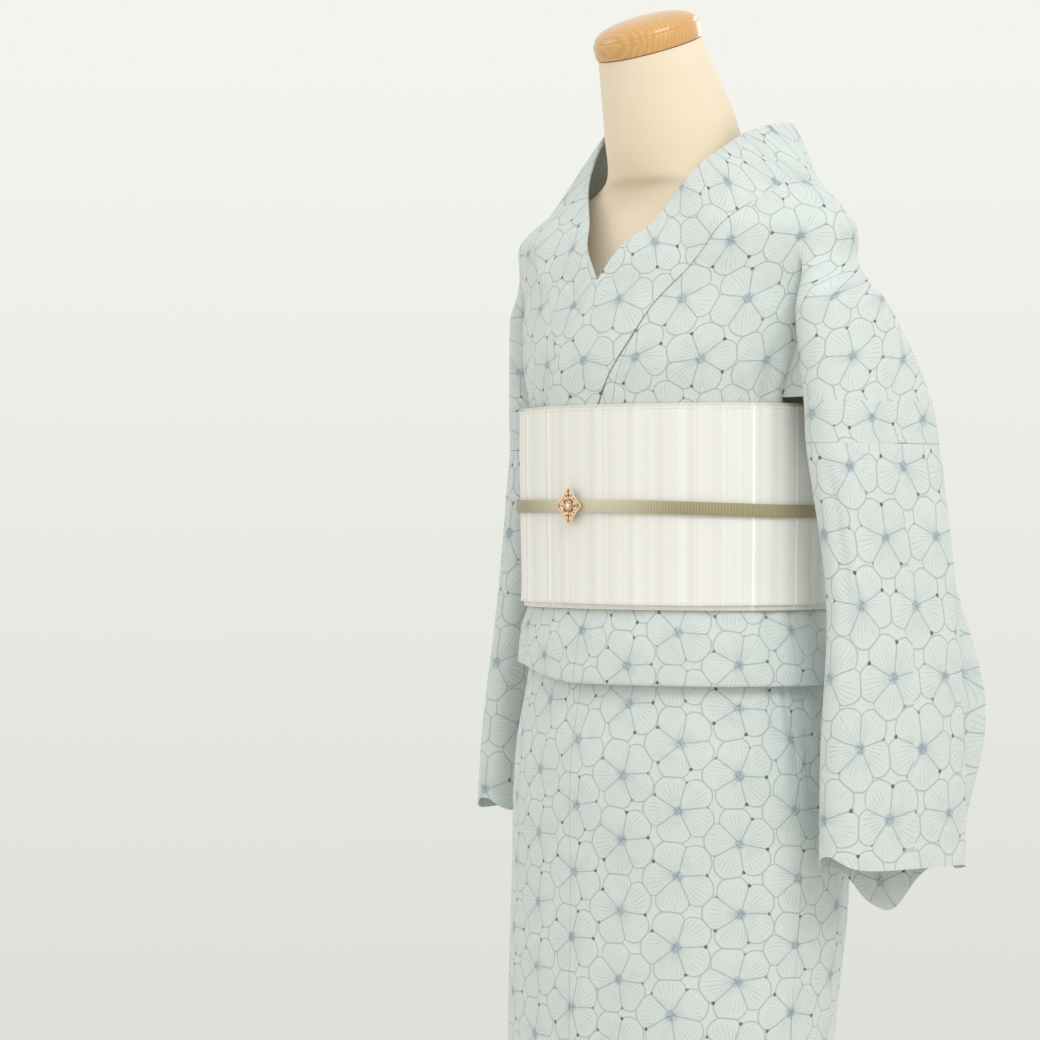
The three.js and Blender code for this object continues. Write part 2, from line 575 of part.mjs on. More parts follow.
// The belt's end, folded flat over the back: one strip, down behind, round the low fold and up outside.
function beltTail() {
  const cols = 10;
  const edge = Math.asin(TAIL.half / 140);
  const turns = spread(-Math.PI / 2 - edge, -Math.PI / 2 + edge, cols);
  const way = [
    { z: TAIL.top - 14, out: TAIL_IN },
    { z: 1090, out: TAIL_IN },
    { z: TAIL.low + 3, out: TAIL_IN },
    { z: TAIL.low, out: TAIL_IN + 1.1 },
    { z: TAIL.low, out: TAIL_OUT - 1.1 },
    { z: TAIL.low + 3, out: TAIL_OUT },
    { z: 1090, out: TAIL_OUT },
    { z: TAIL.top, out: TAIL_OUT },
  ];
  const flat = (z) => Math.min(Math.max(z, BELT_LOW_Z + 2), 1148);
  const points = way.map(({ z, out }) =>
    turns.map((turn) => {
      const p = ring(WAIST, turn, flat(z), out);
      p.z = z;
      return p;
    }),
  );
  return points;
}
function tailWall() {
  const points = beltTail().reverse();
  points.forEach((line) => line.reverse());
  return wall(points, all, BELT_WALL);
}

// The flat cord round the belt, over the folded tail at the back.
function cordOut(turn) {
  const off = Math.abs(Math.atan2(Math.sin(turn + Math.PI / 2), Math.cos(turn + Math.PI / 2)));
  return mix(CORD_OUT, TAIL_OUT + SEAM + CORD.thick, 1 - ease(0.62, 0.95, off));
}
function cordBand() {
  const cols = 64;
  const points = spread(CORD_Z + CORD.tall / 2, CORD_Z - CORD.tall / 2, 1).map((z) =>
    spread(0, 2 * Math.PI, cols)
      .slice(0, cols)
      .map((turn) => {
        const p = ring(WAIST, turn, CORD_Z, cordOut(turn));
        p.z = z - CORD.sag * Math.max(Math.cos(turn), 0) ** 2;
        return p;
      }),
  );
  points.forEach((line) => line.reverse());
  return wall(points, all, CORD.thick, { closed: true });
}
// The cord's knot at the back, with its two ends laid along the cord.
function knotWall() {
  const reach = 0.5;
  const knot = 0.085;
  const turns = spread(-Math.PI / 2 - reach, -Math.PI / 2 + reach, 24);
  const points = [1, -1].map((edge) =>
    turns.map((turn) => {
      const off = Math.abs(turn + Math.PI / 2);
      const full = 1 - ease(knot, knot * 1.7, off);
      const p = ring(WAIST, turn, CORD_Z, cordOut(turn) + SEAM + mix(2.4, 7, full));
      p.z = CORD_Z + edge * mix(CORD.tall / 2, 8, full);
      return p;
    }),
  );
  points.forEach((line) => line.reverse());
  return wall(points, all, 2.2);
}

// The lozenge clasp: a plate with a raised rim and a domed middle.
function clasp() {
  const shape = new THREE.Shape();
  shape.moveTo(CLASP.half, 0);
  shape.lineTo(0, CLASP.tall);
  shape.lineTo(-CLASP.half, 0);
  shape.lineTo(0, -CLASP.tall);
  shape.closePath();
  const bevel = 0.8;
  const geometry = new THREE.ExtrudeGeometry(shape, {
    depth: CLASP.thick - 2 * bevel,
    bevelThickness: bevel,
    bevelSize: bevel,
    bevelSegments: 1,
  });
  geometry.translate(0, 0, bevel);
  return geometry;
}

// The dress form's body and neck.
function formBody() {
  const cols = 28;
  const levels = [...FORM.slice(0, 5).map((row) => row.z), ...spread(1185, FORM[FORM.length - 1].z, 14)];
  const rings = levels.map((z) => {
    const lean = at(FORM, z, "lean");
    const mid = at(FORM, z, "mid");
    return spread(0, 2 * Math.PI, cols)
      .slice(0, cols)
      .map((turn) => {
        const p = ring(FORM, -turn, z);
        const off = p.y - mid;
        p.y = mid + off * Math.cos(lean);
        p.z = z + off * Math.sin(lean);
        return p;
      });
  });
  return loft(rings);
}

// The neck's turned cap: a round rim under a low dome.
function capBody() {
  const { radius, rim, dome } = CAP;
  const curve = spread(0, Math.PI / 2, 6).map(
    (a) => new THREE.Vector2(radius * Math.cos(a) ** 0.8, rim + dome * Math.sin(a)),
  );
  const profile = [
    new THREE.Vector2(0, 0),
    new THREE.Vector2(radius - 2.5, 0),
    new THREE.Vector2(radius, 2.5),
    ...curve.slice(0, -1),
    new THREE.Vector2(0, rim + dome),
  ];
  return new THREE.LatheGeometry(profile, 30).rotateX(Math.PI / 2);
}

// The form's round base.
function baseBody() {
  const { radius, height, edge } = BASE;
  const profile = [
    new THREE.Vector2(0, 0),
    new THREE.Vector2(radius, 0),
    new THREE.Vector2(radius, height - edge),
    new THREE.Vector2(radius - edge * 0.3, height - edge * 0.3),
    new THREE.Vector2(radius - edge, height),
    new THREE.Vector2(0, height),
  ];
  return new THREE.LatheGeometry(profile, 40).rotateX(Math.PI / 2);
}

piece("front_left", frontPanel(1, false), LACE);
piece("front_left_shoulder", frontPanel(1, true), LACE);
piece("front_right", frontPanel(-1, false), LACE);
piece("front_right_shoulder", frontPanel(-1, true), LACE);
piece("back_left", backPanel(1, false), LACE);
piece("back_left_shoulder", backPanel(1, true), LACE);
piece("back_right", backPanel(-1, false), LACE);
piece("back_right_shoulder", backPanel(-1, true), LACE);
piece("overlap_left", overlapPanel(1), LACE);
piece("overlap_right", overlapPanel(-1), LACE);
piece("collar", collarBand(), LACE);
piece("sleeve_left", sleeve(1), LACE);
piece("sleeve_right", sleeve(-1), LACE);
piece("belt_inner_wrap", band(BELT_IN, BELT_LOW_Z - 3, BELT_TOP_Z + 1.5, BELT_WALL), BELT_CLOTH);
piece("belt_outer_wrap", band(BELT_OUT, BELT_LOW_Z + 1, BELT_TOP_Z - 1, BELT_WALL), BELT_CLOTH);
piece("belt_tail", tailWall(), BELT_CLOTH);
piece("belt_cord", cordBand(), 0xb9b48f);
piece("cord_knot", knotWall(), 0xb9b48f);
piece("clasp", clasp(), 0xc9a068, 0.35, 1);
piece("form_body", formBody(), 0xf0dcbb, 0.7);
piece("form_cap", capBody(), 0xc98f45, 0.3);
piece(
  "stand_pole",
  new THREE.CylinderGeometry(POLE_RADIUS, POLE_RADIUS, FORM[0].z - BASE.height - 2 * SEAM, 24),
  0xb8b8b8,
  0.3,
  1,
);
piece("stand_base", baseBody(), 0xc98f45, 0.4);

const placed = (name) => kimono.getObjectByName(name);
placed("form_cap").rotation.x = CAP.lean;
placed("form_cap").position.set(
  0,
  CAP.seat.y - SEAM * Math.sin(CAP.lean),
  CAP.seat.z + SEAM * Math.cos(CAP.lean),
);
placed("stand_pole").rotation.x = Math.PI / 2;
placed("stand_pole").position.z = (FORM[0].z + BASE.height) / 2;
const seat = ring(WAIST, turnAtX(WAIST, CLASP.x, CORD_Z), CORD_Z, CORD_OUT + SEAM);
placed("clasp").rotation.x = Math.PI / 2;
placed("clasp").position.set(seat.x, seat.y - 0.6, CORD_Z);

export default kimono;
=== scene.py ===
# A woman's lace kimono on a limbless dress form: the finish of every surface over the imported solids.
# Sizes are millimetres in the tables and metres in Blender, +Z up. The wearer faces -Y and their left is +X.
# A turn of 0 points to the wearer's left, a quarter turn to the front, half a turn to the right.
import math

import bmesh
import bpy
import numpy as np
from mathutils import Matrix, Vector


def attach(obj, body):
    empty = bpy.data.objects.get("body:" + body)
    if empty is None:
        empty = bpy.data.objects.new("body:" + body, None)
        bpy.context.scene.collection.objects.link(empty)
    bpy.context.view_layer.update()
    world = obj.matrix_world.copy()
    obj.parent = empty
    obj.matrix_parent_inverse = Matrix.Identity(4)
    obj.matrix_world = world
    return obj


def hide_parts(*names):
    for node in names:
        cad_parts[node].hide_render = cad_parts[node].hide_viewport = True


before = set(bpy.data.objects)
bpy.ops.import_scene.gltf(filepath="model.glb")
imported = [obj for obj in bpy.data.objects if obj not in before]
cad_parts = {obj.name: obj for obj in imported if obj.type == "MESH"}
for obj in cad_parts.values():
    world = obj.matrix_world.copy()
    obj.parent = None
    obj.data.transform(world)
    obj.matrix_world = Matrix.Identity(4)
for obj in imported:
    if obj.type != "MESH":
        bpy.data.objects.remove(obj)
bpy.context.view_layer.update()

bl_info = {
    "name": "Lace kimono on a dress form",
    "version": (1, 0, 0),
    "blender": (4, 5, 0),
    "location": "3D View > Sidebar > Kimono",
    "description": "Builds a lace kimono with its sash, cord and clasp on a dress form",
    "category": "Add Mesh",
}

MM = 0.001

# Heights in millimetres.
HEM_Z, FOLD_Z, BELT_LOW_Z, BELT_TOP_Z = 45, 946, 1006, 1160
TIE_Z, ARM_SLIT_Z, ARMHOLE_Z, NAPE_Z, CORD_Z = 1082, 1166, 1130, 1333, 1083
SLEEVE_HEM_Z, SLEEVE_TIP_DROP, RIGHT_SLEEVE_LIFT = 809, 37, 20
OVERLAP_POINT_Z = 1221

# Cloth, layers and the turns where pieces meet.
LAYER, FOLD_IN, BELT_WALL, SEAM = 2.1, 7.8, 2.2, 0.3
LEFT_SIDE, RIGHT_SIDE = 0.16, math.pi
FREE_EDGE_TURN, UNDER_EDGE_TURN = 2.93, 0.42
ARMPIT_FRONT, ARMPIT_BACK = 0.2, 0.5
LOBE_LOW, LOBE_HIGH = 2.5, 1.8
BELT_IN = 3.7
BELT_OUT = BELT_IN + BELT_WALL + 2 * SEAM
CORD_TALL, CORD_THICK, CORD_SAG = 10, 2.6, 4.5
CORD_OUT = BELT_OUT + 2 * SEAM + CORD_THICK
TAIL_IN = BELT_OUT + SEAM
TAIL_OUT = TAIL_IN + 1.2 + 2 * BELT_WALL
TAIL_HALF, TAIL_LOW, TAIL_TOP = 76, 992, 1164
CLASP_HALF, CLASP_TALL, CLASP_X = 13, 14, -5


def table(names, *rows):
    """A table as one array for each named column."""
    return dict(zip(names.split(), np.array(rows, float).T))


RING_COLUMNS = "z half front back mid shape"
CHEST = table(
    RING_COLUMNS,
    (1140, 136, 103, 102, 0, 2),
    (1164, 136.8, 103.6, 102.6, 0, 2),
    (1190, 144, 106, 106, 1, 2),
    (1231, 154, 99, 103, 3, 2),
    (1250, 159, 94, 101, 4, 1.9),
    (1280, 169, 86, 100, 4, 1.9),
    (1300, 170, 79, 93, 4, 1.9),
    (1320, 150, 62, 90, 7, 1.8),
    (1336, 126, 42, 88, 11, 1.8),
)
WAIST = table(
    RING_COLUMNS,
    (930, 147, 110, 110, 0, 2),
    (FOLD_Z, 147, 110, 110, 0, 2),
    (985, 142, 107, 106, 0, 2),
    (BELT_LOW_Z, 135, 102, 101, 0, 2),
    (1080, 135.5, 102.5, 101.5, 0, 2),
    (1164, 136, 103, 102, 0, 2),
)
SKIRT = table(
    RING_COLUMNS,
    (HEM_Z, 137, 101, 101, -12, 2),
    (350, 142, 105, 105, -12, 2),
    (656, 147, 109, 109, -10, 2),
    (784, 151, 114, 114, 0, 2),
    (885, 148, 111, 112, 0, 2),
    (FOLD_Z, 137.5, 100.5, 100.5, 0, 2),
    (985, 132, 97, 96, 0, 2),
    (BELT_LOW_Z, 125.3, 92.3, 91.3, 0, 2),
    (1082, 125.8, 92.8, 91.8, 0, 2),
)
ARM_COLUMNS = "z x y deep wide turn"
ARM_LEFT = table(
    ARM_COLUMNS,
    (820, 203, 27, 67, 25, 0.17),
    (900, 204, 26, 66, 24, 0.17),
    (1010, 202, 27, 60, 23, 0.16),
    (1130, 189, 20, 61, 25, 0.14),
    (1162, 186, 18, 59, 25, 0.12),
    (1200, 179, 12, 53, 24, 0.1),
    (1237, 172, 4, 43, 22, 0.06),
    (1280, 163, -1, 26, 16, 0),
)
ARM_RIGHT = table(
    ARM_COLUMNS,
    (820, 201, 26, 60, 25, 0.16),
    (900, 197, 28, 59, 24, 0.16),
    (1010, 185, 32, 57, 22, 0.15),
    (1130, 175, 36, 56, 21, 0.12),
    (1162, 172, 32, 54, 21, 0.1),
    (1200, 169, 24, 48, 20, 0.1),
    (1237, 165, 14, 39, 19, 0.06),
    (1280, 162, 2, 25, 15, 0),
)
# How far the sleeve's spare cloth stands out behind, by height.
SLEEVE_FOLD = table("z out", (800, 10), (850, 26), (925, 42), (1010, 24), (1080, 5), (1130, 0))
# The seam between a front and its overlap.
OVERLAP_SEAM = table("z x", (HEM_Z, 2), (656, -1), (FOLD_Z, -6), (1060, 16), (1163, 29), (1224, 49))
# The collar from the nape to the belt: its standing edge on the left and right, and its sewn edge.
COLLAR = table(
    "ix iy iz jx jy jz ox oz",
    (0, 90, 1388, 0, 90, 1388, 0, 1337),
    (33, 90, 1390, 33, 90, 1391, 36, 1337),
    (58, 74, 1390, 60, 74, 1393, 68, 1337.5),
    (71, 46, 1387, 74, 46, 1395, 98, 1338),
    (67, 16, 1380, 76, 16, 1396, 119.5, 1338),
    (61, -12, 1364, 70, -10, 1387, 118.5, 1325),
    (53, -36, 1345, 65, -35, 1347, 109, 1310),
    (33, -60, 1306, 40, -60, 1309, 86, 1271),
    (8, -84, 1274, 14, -85, 1272, 62, 1244),
    (-14, -98, 1235, -14, -98, 1235, 42, 1210),
    (-42, -102, 1175, -42, -102, 1175, 15, 1163),
    (-62, -94, 1118, -62, -94, 1118, -8, 1106),
)
COLLAR["z"] = np.arange(len(COLLAR["ox"]), dtype=float)
COLLAR_SEAM = {"z": COLLAR["oz"][4:][::-1], "x": COLLAR["ox"][4:][::-1]}
FORM = table(
    RING_COLUMNS + " lean",
    (770, 116, 82, 84, 0, 2.2, 0),
    (850, 127, 92, 94, 0, 2.1, 0),
    (940, 122, 86, 88, 0, 2, 0),
    (1040, 110, 78, 76, 0, 2, 0),
    (1150, 118, 87, 82, 0, 2, 0),
    (1220, 132, 86, 88, 2, 1.9, 0),
    (1262, 141, 72, 80, 7, 1.7, 0),
    (1290, 154, 62, 72, 8, 1.6, 0),
    (1318, 149.2, 52, 66, 8, 1.7, 0),
    (1334, 92, 50, 56, 6, 1.8, 0),
    (1352, 61, 54, 54, 2, 2, 0.16),
    (1388, 52, 53, 53, -9, 2, 0.28),
    (1446, 42, 42, 42, -31, 2, 0.35),
)
CAP_RADIUS, CAP_RIM, CAP_DOME, CAP_LEAN, CAP_SEAT = 43.5, 13, 13, 0.35, (0, -31, 1446)
BASE_RADIUS, BASE_HEIGHT, POLE_RADIUS = 172, 24, 15

# Gathers under the fold, at the wearer's sides, and the soft folds of the skirt and the chest.
# A fold runs from one turn and height to another; its depth is in millimetres, below zero for a ridge.
FOLD_COLUMNS = "turn_a z_a turn_b z_b width depth"
SKIRT_FOLDS = table(
    FOLD_COLUMNS,
    (0.20, 950, 0.17, 836, 0.045, 4.0),
    (0.05, 950, 0.03, 796, 0.040, 5.0),
    (-0.12, 950, -0.13, 816, 0.050, 4.5),
    (-0.32, 950, -0.34, 846, 0.050, 3.5),
    (3.00, 950, 3.02, 836, 0.050, 3.5),
    (3.20, 950, 3.22, 806, 0.045, 4.5),
    (3.42, 950, 3.44, 846, 0.050, 3.5),
    (0.31, 950, 0.29, 880, 0.030, 2.2),
    (0.12, 950, 0.11, 880, 0.022, 2.6),
    (-0.03, 950, -0.04, 870, 0.024, 2.6),
    (-0.21, 950, -0.22, 860, 0.030, 2.4),
    (0.62, 930, 0.40, 640, 0.09, 1.3),
    (1.05, 880, 0.85, 500, 0.11, -1.1),
    (1.36, 830, 1.30, 420, 0.12, 1.0),
    (2.10, 920, 2.25, 520, 0.12, -1.0),
    (2.55, 900, 2.66, 600, 0.10, 1.2),
    (3.60, 930, 3.80, 560, 0.12, 1.3),
    (4.30, 900, 4.25, 480, 0.13, -1.2),
    (5.10, 920, 5.20, 500, 0.12, 1.2),
    (5.75, 940, 5.62, 620, 0.10, -1.2),
)
FOLD_OVER_FOLDS = table(
    FOLD_COLUMNS,
    (0.34, 1010, 0.30, 948, 0.050, 2.0),
    (0.10, 1010, 0.14, 950, 0.045, 1.9),
    (-0.10, 1010, -0.06, 946, 0.045, 1.9),
    (0.75, 1004, 0.58, 960, 0.070, 1.2),
    (1.25, 1006, 1.02, 966, 0.080, 0.9),
    (2.05, 1006, 2.30, 962, 0.090, 1.0),
    (2.85, 1010, 2.80, 950, 0.060, 1.8),
    (3.30, 1010, 3.26, 950, 0.050, 2.0),
    (4.05, 1008, 4.15, 956, 0.080, 1.4),
    (4.95, 1008, 4.88, 956, 0.080, 1.3),
    (5.75, 1010, 5.70, 950, 0.070, 1.6),
)
CHEST_FOLDS = table(
    FOLD_COLUMNS,
    (0.36, 1158, 0.30, 1236, 0.060, 3.4),
    (0.50, 1156, 0.62, 1196, 0.050, 2.0),
    (0.22, 1160, 0.16, 1216, 0.040, 2.6),
    (0.86, 1158, 0.74, 1226, 0.080, 1.3),
    (2.78, 1158, 2.84, 1232, 0.060, 2.8),
    (2.55, 1156, 2.46, 1206, 0.060, 1.6),
    (3.70, 1160, 3.86, 1250, 0.080, 2.4),
    (4.35, 1158, 4.52, 1240, 0.100, 1.7),
    (5.05, 1158, 4.92, 1236, 0.100, 1.6),
    (5.72, 1160, 5.56, 1252, 0.080, 2.4),
)


def at(rows, z, name):
    """A smooth value from a table whose rows rise in z."""
    zs, values = rows["z"], rows[name]
    z = np.clip(np.asarray(z, float), zs[0], zs[-1])
    i = np.clip(np.searchsorted(zs, z, side="right") - 1, 0, len(zs) - 2)
    before, after = np.maximum(i - 1, 0), np.minimum(i + 2, len(zs) - 1)
    step = zs[i + 1] - zs[i]
    slope_a = (values[i + 1] - values[before]) / (zs[i + 1] - zs[before]) * step
    slope_b = (values[after] - values[i]) / (zs[after] - zs[i]) * step
    t = (z - zs[i]) / step
    rise = t * t * (3 - 2 * t)
    return values[i] * (1 - rise) + values[i + 1] * rise + t * (1 - t) * ((1 - t) * slope_a - t * slope_b)


def mix(a, b, t):
    return a + (b - a) * t


def ease(start, end, value):
    t = np.clip((np.asarray(value, float) - start) / (end - start), 0, 1)
    return t * t * (3 - 2 * t)


def power(value, exponent):
    return np.sign(value) * np.abs(value) ** exponent


def point(x, y, z):
    return np.stack(np.broadcast_arrays(np.asarray(x, float), y, z), axis=-1)


def turned_off(turn, middle):
    """The shortest turn from the middle, either way."""
    return np.arctan2(np.sin(turn - middle), np.cos(turn - middle))


def ring(rows, turn, z, out=0.0):
    """A point of a table's ring at a turn and height, moved out by a distance."""
    e = 2 / at(rows, z, "shape")
    c, s = power(np.cos(turn), e), power(np.sin(turn), e)
    depth = np.where(s > 0, at(rows, z, "front"), at(rows, z, "back"))
    return point((at(rows, z, "half") + out) * c, at(rows, z, "mid") - (depth + out) * s, z)


def turn_at_x(rows, x, z):
    """The turn at which a ring's front has this x."""
    e = 2 / at(rows, z, "shape")
    return np.arccos(np.clip(power(x / at(rows, z, "half"), 1 / e), -1, 1))


def arc_u(rows, z):
    """Distance along one ring from the front's middle to the wearer's left, as a function of turn."""
    turns = np.linspace(-1.5 * math.pi, 2.5 * math.pi, 1441)
    places = ring(rows, turns, np.full_like(turns, z))
    steps = np.linalg.norm(np.diff(places, axis=0), axis=1)
    along = np.concatenate([[0], np.cumsum(steps)])
    return lambda turn: np.interp(math.pi / 2, turns, along) - np.interp(turn, turns, along)


CHEST_ARC = arc_u(CHEST, 1200)
WAIST_ARC = arc_u(WAIST, FOLD_Z)


def folds(table_of_folds, turn, z):
    """How deep soft folds press the cloth in at a turn and height."""
    depth = np.zeros(np.broadcast(turn, z).shape)
    for row in zip(*(table_of_folds[name] for name in FOLD_COLUMNS.split())):
        turn_a, z_a, turn_b, z_b, width, deep = row
        share = (z - z_a) / (z_b - z_a)
        line = mix(turn_a, turn_b, np.clip(share, 0, 1)) + 0.012 * np.sin(z * 0.045 + turn_a * 9)
        ends = ease(-0.08, 0.06, share) * (1 - ease(0.35, 1.0, share))
        depth = depth + deep * np.exp(-((turned_off(turn, line) / width) ** 2)) * ends
    return depth


def arm(side, angle, z, extra=0.0):
    """A point of one arm's cloth: angle 0 is the outer side, a quarter turn back is its back edge."""
    rows = ARM_LEFT if side > 0 else ARM_RIGHT
    turn = at(rows, z, "turn")
    out = at(rows, z, "wide") * power(np.cos(angle), 0.8)
    back = at(rows, z, "deep") * power(np.sin(angle), 0.8) + extra
    x = at(rows, z, "x") + out * np.cos(turn) + back * np.sin(turn)
    y = at(rows, z, "y") - out * np.sin(turn) + back * np.cos(turn)
    return point(side * x, y, z)


def armpit(is_front, z):
    """The turn at which the body's cloth ends and the arm's begins."""
    if not is_front:
        return np.full(np.shape(z), ARMPIT_BACK)
    collar_turn = turn_at_x(CHEST, at(COLLAR_SEAM, z, "x") + 2, z)
    return np.minimum(mix(ARMPIT_FRONT, ARMPIT_BACK, ease(1236, 1300, z)), 0.7 * collar_turn)


def shoulder(side, share, is_front, z):
    """The arm's cloth where it grows out of the shoulder: share 1 is the armpit, 0 the outer side."""
    corner = 2 / at(CHEST, z, "shape")
    turn = (1 if is_front else -1) * np.arcsin(np.sin(armpit(is_front, z)) * share ** (1 / corner))
    smooth = ring(CHEST, turn if side > 0 else math.pi - turn, z)
    end = mix(LOBE_LOW, LOBE_HIGH, ease(1190, 1275, z))
    lobed = arm(side, (-1 if is_front else 1) * end * share, z)
    return smooth + (lobed - smooth) * (1 - ease(1236, 1300, z))[..., None]


# The way down a panel: over the chest, under the belt, round the fold and down to the hem.
# turned is the share of the way to the fold's inner layer, and nest lifts an under layer's folds.
WAY_COLUMNS = "z skirt turned nest"
LOWER_WAY = table(
    WAY_COLUMNS,
    (1140, 0, 0, 0),
    (BELT_LOW_Z + 4, 0, 0, 0),
    (FOLD_Z + 1.5, 0, 0, 1),
    (FOLD_Z - 0.4, 0, 0.06, 1),
    (FOLD_Z - 1, 0, 0.16, 1),
    (FOLD_Z - 1, 0, 0.84, 1),
    (FOLD_Z - 0.4, 0, 0.94, 1),
    (FOLD_Z + 1.5, 0, 1, 1),
    (978, 0, 1, 0),
    (BELT_LOW_Z, 0, 1, 0),
    (TIE_Z, 0, 1, 1.1),
    (TIE_Z, 1, 0, 1.1),
    (BELT_LOW_Z, 1, 0, 0),
    (FOLD_Z, 1, 0, 0),
    (HEM_Z, 1, 0, 0),
)
CHEST_TOP_Z = 1334
# The fold's edge rises towards the wearer's right.
FOLD_LIFT = 12
CHEST_STEP, LOWER_STEP, HIDDEN_STEP = 4, 7, 24


def chest_heights(low=ARM_SLIT_Z):
    count = round((CHEST_TOP_Z - low) / CHEST_STEP)
    return np.linspace(CHEST_TOP_Z, low, count + 1)


def lower_stations():
    """Rows of the lower way, close together where they show and wide apart under the belt."""
    way = list(zip(*(LOWER_WAY[name] for name in WAY_COLUMNS.split())))
    stations = [way[0]]
    for a, b in zip(way, way[1:]):
        under = max(a[0], b[0]) > BELT_LOW_Z + 10 or (a[2] >= 0.5 and not a[1])
        count = max(1, round(abs(a[0] - b[0]) / (HIDDEN_STEP if under else LOWER_STEP)))
        if a[1] != b[1]:
            count = 1
        stations += [tuple(mix(p, q, n / count) for p, q in zip(a, b)) for n in range(1, count + 1)]
    return table(WAY_COLUMNS, *stations)


STATIONS = lower_stations()


def lower_grid(turns, under):
    """Points of a lower panel, one row a station, with its turns and how far it lies under another."""
    z = STATIONS["z"][:, None]
    skirt = STATIONS["skirt"][:, None] > 0.5
    turned, nest = STATIONS["turned"][:, None], STATIONS["nest"][:, None]
    over_fold = folds(FOLD_OVER_FOLDS, turns, z) * (1 - turned)
    drape = np.where(skirt, folds(SKIRT_FOLDS, turns, z) * (z <= FOLD_Z + 4), over_fold)
    deep = np.where(skirt, LAYER * under, mix(LAYER * under, FOLD_IN - LAYER * under, turned))
    lifted = (
        FOLD_LIFT * ease(1.6, 2.3, turns) * (1 - ease(2.6, 3.4, turns)) * (1 - ease(FOLD_Z, BELT_LOW_Z, z))
    )
    height = z + nest * LAYER * under + np.where(skirt, 0, lifted)
    out = -drape - deep
    waist, low = ring(WAIST, turns, height, out), ring(SKIRT, turns, height, out)
    return np.where(skirt[..., None], low, waist)


def seam_x():
    """The overlap seam's x on each station: it leans only on the outer layer."""
    outer = (STATIONS["skirt"] < 0.5) & (STATIONS["turned"] < 0.5)
    return at(OVERLAP_SEAM, np.where(outer, STATIONS["z"], np.minimum(STATIONS["z"], FOLD_Z)), "x")


def ring_turn_at_x(x):
    """The turn of an x on each station's own ring."""
    z = STATIONS["z"]
    return np.where(STATIONS["skirt"] > 0.5, turn_at_x(SKIRT, x, z), turn_at_x(WAIST, x, z))


def under_side(turn):
    return ease(0.05, 0.16, RIGHT_SIDE - turn)


def under_chest(z):
    return 1 - ease(1240, 1290, z)


def spread(start, end, count):
    """Values from each row's start to its end."""
    share = np.linspace(0, 1, count + 1)
    return np.asarray(start, float)[:, None] * (1 - share) + np.asarray(end, float)[:, None] * share


# Meshes.
def finish_mesh(name, verts, faces, uvs, material, sharp=50, second=None):
    """One object from points in millimetres, with a UV in metres for each face corner.

    second gives another material and the faces that have it."""
    mesh = bpy.data.meshes.new(name)
    mesh.from_pydata((np.asarray(verts) * MM).tolist(), [], [list(face) for face in faces])
    if uvs is not None:
        layer = mesh.uv_layers.new(name="cloth")
        layer.data.foreach_set("uv", (np.asarray(uvs, dtype=np.float32) * MM).ravel())
    mesh.polygons.foreach_set("use_smooth", [True] * len(mesh.polygons))
    mesh.set_sharp_from_angle(angle=math.radians(sharp))
    piece = bpy.data.objects.new(name, mesh)
    bpy.context.scene.collection.objects.link(piece)
    piece.data.materials.append(material)
    if second:
        piece.data.materials.append(second[0])
        piece.data.polygons.foreach_set("material_index", second[1].astype(np.int32))
    return piece


def cloth(name, points, uv, keep, thick, material, closed=False, below=None):
    """A thin wall from a grid: rows run down, columns left to right as seen from outside.

    below gives a row and the material of the cloth from there down."""
    rows, cols = points.shape[:2]
    wide = cols if closed else cols - 1
    kept = np.broadcast_to(keep, (rows - 1, wide))
    i, j = np.nonzero(kept)
    right = (j + 1) % cols
    corners = np.stack([i * cols + j, (i + 1) * cols + j, (i + 1) * cols + right, i * cols + right], 1)
    corner_uv = np.stack([uv[i, j], uv[i + 1, j], uv[i + 1, j + 1], uv[i, j + 1]], 1)
    flat = points.reshape(-1, 3)
    a, b, c, d = (flat[corners[:, n]] for n in range(4))
    face_normals = np.cross(c - a, d - b)
    normals = np.zeros_like(flat)
    for n in range(4):
        np.add.at(normals, corners[:, n], face_normals)
    lengths = np.linalg.norm(normals, axis=1, keepdims=True)
    inner = flat - normals / np.where(lengths < 1e-9, 1, lengths) * thick
    offset = len(flat)
    around = np.zeros((rows + 1, wide + 2), bool)
    around[1:rows, 1 : wide + 1] = kept
    if closed:
        around[1:rows, 0], around[1:rows, wide + 1] = kept[:, -1], kept[:, 0]
    sides = [around[i + 1, j], around[i + 2, j + 1], around[i + 1, j + 2], around[i, j + 1]]
    faces = [corners, corners[:, ::-1] + offset]
    loops = [corner_uv, corner_uv[:, ::-1]]
    face_rows = [i, i]
    for n, has_neighbour in enumerate(sides):
        rim = ~has_neighbour
        start, end = corners[rim, n], corners[rim, (n + 1) % 4]
        start_uv, end_uv = corner_uv[rim, n], corner_uv[rim, (n + 1) % 4]
        faces.append(np.stack([end, start, start + offset, end + offset], 1))
        loops.append(np.stack([end_uv, start_uv, start_uv, end_uv], 1))
        face_rows.append(i[rim])
    faces = np.concatenate(faces)
    used, numbers = np.unique(faces, return_inverse=True)
    verts = np.concatenate([flat, inner])[used]
    second = (below[1], np.concatenate(face_rows) >= below[0]) if below else None
    corner_uvs = np.concatenate(loops).reshape(-1, 2)
    return finish_mesh(name, verts, numbers.reshape(faces.shape), corner_uvs, material, second=second)


